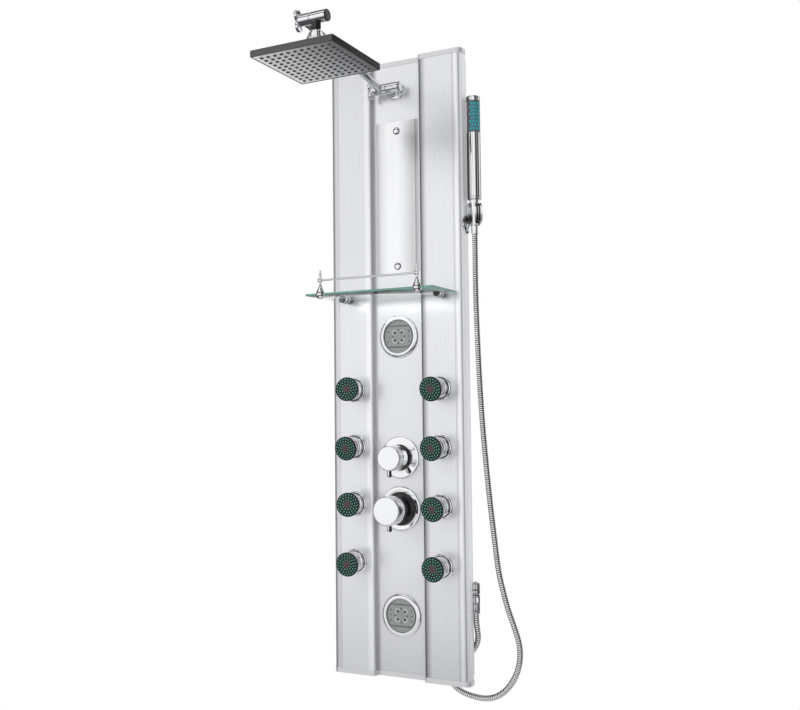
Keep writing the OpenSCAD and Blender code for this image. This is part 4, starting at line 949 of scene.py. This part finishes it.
def make_handset_band():
    """The spray band, with rows of soft nubs round its front; every second row is half a step on."""
    low, high, band_r = SPRAY_LOW, SPRAY_HIGH, 15.9
    band = [(low, 12.2, 0), (low, 15.6, 0), (161.5, 16.2, 0.3), (163, 16.2, 0.3), (163.5, band_r, 0.2),
            (233.5, band_r, 0.2), (234, 16.2, 0.3), (235.5, 16.2, 0.3), (high, 15.6, 0), (high, 12.2, 0),
            (low, 12.2, 0)]
    nub = soft([(-0.4, 0, 0), (-0.4, 3.1, 0), (0.25, 2.9, 0.4), (0.5, 1.6, 0.5), (0.5, 0, 0)], 2)
    rows, row_pitch, first_row = 8, 8.6, 168.5
    columns, column_angle, facing = 6, 28, 75
    stretch = Matrix.Diagonal((1, 1, 1.35, 1))
    bm = bmesh.new()
    lathe(bm, band, HANDSET, UP, 56)
    for row in range(rows):
        for column in range(columns):
            steps = column - (columns - 1) / 2 + (0.25 if row % 2 else -0.25)
            angle = radians(facing + steps * column_angle)
            out = Vector((sin(angle), -cos(angle), 0))
            centre = HANDSET + out * band_r + Vector((0, 0, first_row + row * row_pitch))
            tall = Matrix.Translation(centre * MM) @ stretch @ Matrix.Translation(-centre * MM)
            lathe(bm, nub, centre, out, 14, 1, tall)
    piece("hand_shower_band", bm, [BAND, TURQUOISE], "handset", ["handset_band"])


def make_holder():
    """A domed rose on the pillar's side, a neck, and a conical cup with a slot for the hose."""
    rose = [(-2, 0, 0), (-2, 4.4, 0), (0, 4.4, 0), (0, 21, 0), (1.6, 21.6, 0.6), (3, 21, 0.8),
            (6.4, 17.5, 2.5), (9, 10, 3), (9.8, 6, 1), (10, 0, 0)]
    section = [(12.9, 373), (13.2, 373.8), (16.2, 373.8), (17, 373), (18.6, 366), (19.3, 358), (19.4, 350),
               (19.1, 342), (18.2, 334.5), (16.6, 328.5), (14.2, 324), (11.4, 321.6), (10, 321.4),
               (9.3, 322.4), (9.3, 350)]
    rose_at, ball_at, ball_r = (180.2, -48.2, 326), (187, -48.6, 336), 8.4
    steps, half_slot = 44, radians(25)
    bm = bmesh.new()
    lathe(bm, rose, rose_at, RIGHT, 56)
    ball(bm, ball_at, ball_r, sides=28, rings=16)
    rings = []
    for n in range(steps + 1):
        angle = -pi / 2 + half_slot + (2 * pi - 2 * half_slot) * n / steps
        rings.append([])
        for r, z in section:
            corner = Vector((HANDSET.x + r * cos(angle), HANDSET.y + r * sin(angle), z))
            rings[-1].append(bm.verts.new(corner * MM))
    inner_steps = (0, len(section) - 2, len(section) - 1)
    bridge(bm, rings, lambda n, k: int(k in inner_steps))
    piece("holder_cup", bm, [HOLDER_CHROME, BLACK], "panel", ["handset_holder"])


def make_cone_nut():
    nut = [(-82, 0, 0), (-82, 7.4, 0), (-81, 8.2, 0.5), (-79.6, 8.5, 0.4), (-62, 8.5, 0.3), (-61.2, 8, 0.3),
           (-60, 8, 0.3), (-59.2, 8.5, 0.3), (-32.4, 8.5, 0.6), (-31.4, 8.7, 0.4), (-2, 12.3, 0.6),
           (-0.6, 12.3, 0.5), (0, 11.6, 0), (0, 0, 0)]
    bm = bmesh.new()
    lathe(bm, nut, HANDSET, UP, 48)
    return piece("hose_cone", bm, [CHROME], "handset", ["cone_nut"])


# Outlet of the hose, and the fixings in the wall

def make_outlet():
    """An elbow from a small rose, an eight-sided union nut between two bands, and the hose's ferrule."""
    at = Vector((185, -34, -525))
    rose_x = 174
    rose = [(-4, 0, 0), (-4, 6, 0), (0, 6, 0), (0, 7.7, 0), (2.2, 7.7, 0.6), (3, 6.4, 0.5), (4.6, 6, 0.3),
            (11, 6, 0), (11, 0, 0)]
    elbow = [(-18, 0, 0), (-18, 7.4, 0), (-16.8, 7.4, 0.3), (-16, 9, 0.5), (-8.4, 9, 0.3), (-7.8, 8.2, 0.2),
             (-6.4, 8.2, 0.2), (-5.8, 9, 0.3), (3, 9, 0), (7, 8.2, 2.5), (10, 5.6, 2.5), (12, 0, 0)]
    nut = [(-39.6, 0, 0), (-39.6, 7.6, 0), (-38.4, 8.9, 0.4), (-37.4, 8.9, 0.3), (-36.8, 7.6, 0.2),
           (-23.4, 7.6, 0.2), (-22.8, 8.9, 0.3), (-20.4, 8.9, 0.4), (-19.6, 7.4, 0.2), (-18, 7.2, 0),
           (-18, 0, 0)]
    ferrule = [(-62, 0, 0), (-62, 7.6, 0), (-61, 8.4, 0.5), (-57, 8.5, 0.3), (-56.2, 7.7, 0.2),
               (-54.8, 7.7, 0.2), (-54, 8.5, 0.3), (-41, 8.5, 0.3), (-40.4, 7.6, 0.2), (-39.6, 7.6, 0),
               (-39.6, 0, 0)]
    bm = bmesh.new()
    # Black shows on the rose's neck and in the grooves
    lathe(bm, rose, (rose_x, at.y, at.z), RIGHT, 40, lambda d, r: int(2.9 < d < 10.9))
    lathe(bm, elbow, at, UP, 40, lambda d, r: int(r < 8.5 and -8.3 < d < -6.1))
    flats = []
    for z, r in ((-36.6, 8.2), (-36, 9.1), (-24.2, 9.1), (-23.6, 8.2)):
        middle = at + Vector((0, 0, z))
        flats.append(circle(bm, middle, Vector(RIGHT), Vector(BACK), r, sides=8, turn=radians(8)))
    bridge(bm, flats)
    lathe(bm, nut, at, UP, 40, lambda d, r: int(r < 7.7 and -38 < d < -18))
    lathe(bm, ferrule, at, UP, 40, lambda d, r: int(-56.3 < d < -54.7 and r < 8))
    piece("hose_outlet", bm, [OUTLET_CHROME, BLACK], "panel", ["outlet_elbow"])


def make_fixings():
    head = [(-5.2, 0, 0), (-5.2, 2.2, 0), (-4.6, 4.6, 0.8), (-2.8, 5, 0.4), (-2.3, 4.8, 0), (-2.3, 2.2, 0)]
    threads, first_thread, thread_pitch = 12, 10.5, 2.8
    screw = soft(head) + [(0, 2.2), (0, 2.5), (10, 2.5)]
    for k in range(threads):
        d = first_thread + k * thread_pitch
        screw += [(d, 1.6), (d + 1.2, 2.2), (d + 1.5, 2.2), (d + 2.7, 1.6)]
    screw += [(45.4, 0.6), (46, 0)]
    barbs, first_barb, barb_pitch = 10, 13, 3.4
    plug = [(10, 2.3), (10, 4), (11.2, 4), (11.6, 3.6)]
    for k in range(barbs):
        d = first_barb + k * barb_pitch
        plug += [(d, 3.3), (d + 1.6, 4), (d + 2.2, 4), (d + 2.6, 3.3)]
    plug += [(49, 3.2), (50, 2.6), (50, 0)]
    # The first mount is the wall screws
    spans = frame["record"]["mounts"][0]["dims"]
    half_x, half_z = spans["spacing_x_mm"] / 2, spans["spacing_y_mm"] / 2
    screws, plugs = bmesh.new(), bmesh.new()
    for x in (-half_x, half_x):
        for z in (-half_z, half_z):
            lathe(screws, screw, (x, 0, z), BACK, 20)
            lathe(plugs, plug, (x, 0, z), BACK, 20)
    piece("bracket_screws", screws, [STEEL], "panel", ["wall_screws"])
    piece("bracket_plugs", plugs, [NYLON], "panel", ["wall_plugs"])


make_mirror()
make_mirror_domes()
make_shelf_glass()
make_shelf_posts()
make_shelf_clamps()
make_jet_cups()
make_jet_bells()
make_trim_rings()
make_drum_outlets()
make_drum_painted_shadow_gaps()
make_diverter()
make_mixer()
make_arm_foot()
make_arm_pipe()
make_thumb_screw("lower", ARM_HINGE, hub=-54, hub_r=10, wing_r=21, barrel=-46)
make_thumb_screw("upper", NECK_HINGE, hub=-42, hub_r=12.5, wing_r=23.8, barrel=-40)
make_neck()
make_ball_nut()
make_head_casing()
make_nozzle_collars()
make_handset()
make_handset_band()
make_holder()
make_hose(make_cone_nut())
make_outlet()
make_fixings()


# World, lamps and floor

AMBIENT = (0.62, 0.625, 0.62, 1)
WHITE = (1, 1, 1, 1)
# What chrome sees all round, in turns: 0.5 is straight in front and 0.75 to the right
AROUND = [
    (0, 0.8), (0.09, 0.85), (0.13, 0.06), (0.22, 0.05), (0.25, 0.6), (0.275, 0.08), (0.31, 0.07),
    (0.36, 0.92), (0.40, 1), (0.495, 1), (0.515, 0.3), (0.53, 1), (0.61, 1), (0.645, 0.06),
    (0.70, 0.05), (0.725, 0.75), (0.745, 0.05), (0.80, 0.04), (0.83, 0.8), (0.90, 1), (1, 0.9)]
# And from straight down at 0 to straight up at 1
RISE = [
    (0, 0.7), (0.11, 0.7), (0.14, 0.06), (0.24, 0.08), (0.29, 0.6), (0.37, 0.7), (0.42, 0.95),
    (0.46, 1), (0.70, 1), (0.745, 0.08), (0.80, 0.1), (0.84, 1), (1, 1)]


def make_world():
    """A world that lights evenly, and that reflections see as a studio of dark and light strips."""
    world = bpy.data.worlds.new("studio")
    scene.world = world
    world.use_nodes = True
    tree = world.node_tree
    add, link = tree.nodes.new, tree.links.new
    tree.nodes.clear()
    out = add("ShaderNodeOutputWorld")
    back = add("ShaderNodeBackground")
    link(back.outputs["Background"], out.inputs["Surface"])
    way = add("ShaderNodeTexCoord")
    split = add("ShaderNodeSeparateXYZ")
    link(way.outputs["Generated"], split.inputs["Vector"])
    flip = add("ShaderNodeMath")
    flip.operation = "MULTIPLY"
    flip.inputs[1].default_value = -1
    link(split.outputs["Y"], flip.inputs[0])
    turn = add("ShaderNodeMath")
    turn.operation = "ARCTAN2"
    link(split.outputs["X"], turn.inputs[0])
    link(flip.outputs["Value"], turn.inputs[1])
    around = grey_ramp(tree, map_range(tree, turn.outputs["Value"], -pi, pi), AROUND)
    rise = grey_ramp(tree, map_range(tree, split.outputs["Z"], -1, 1), RISE)
    studio = mixed(tree, around, rise, blend="MULTIPLY")
    path = add("ShaderNodeLightPath")
    color = mixed(tree, AMBIENT, studio, path.outputs["Is Glossy Ray"])
    color = mixed(tree, color, WHITE, path.outputs["Is Transmission Ray"])
    color = mixed(tree, color, WHITE, path.outputs["Is Camera Ray"])
    link(color, back.inputs["Color"])


def lamp(name, at, size, power):
    """An area lamp that looks at the origin and stays out of reflections."""
    data = bpy.data.lights.new(name, "AREA")
    data.shape = "RECTANGLE"
    data.size, data.size_y = size
    data.energy = power
    obj = bpy.data.objects.new(name, data)
    scene.collection.objects.link(obj)
    obj.location = at
    obj.rotation_euler = (-Vector(at)).to_track_quat("-Z", "Y").to_euler()
    obj.visible_glossy = False


def make_floor():
    mat = surface("floor_matte", (0.8, 0.8, 0.8, 1), rough=0.9, tint=0.01, grain=8)
    centre, radius = (0, -250, -1050), 850
    bm = bmesh.new()
    lathe(bm, [(0, 0), (0, radius)], centre, UP, 96)
    mesh = bpy.data.meshes.new("floor")
    bm.to_mesh(mesh)
    bm.free()
    mesh.materials.append(mat)
    obj = bpy.data.objects.new("floor", mesh)
    scene.collection.objects.link(obj)


make_world()
lamp("key", at=(-1.5, -2.6, 1.5), size=(1.6, 1.6), power=38)
lamp("fill", at=(1.9, -2, 0.2), size=(1.4, 2.2), power=16)
make_floor()
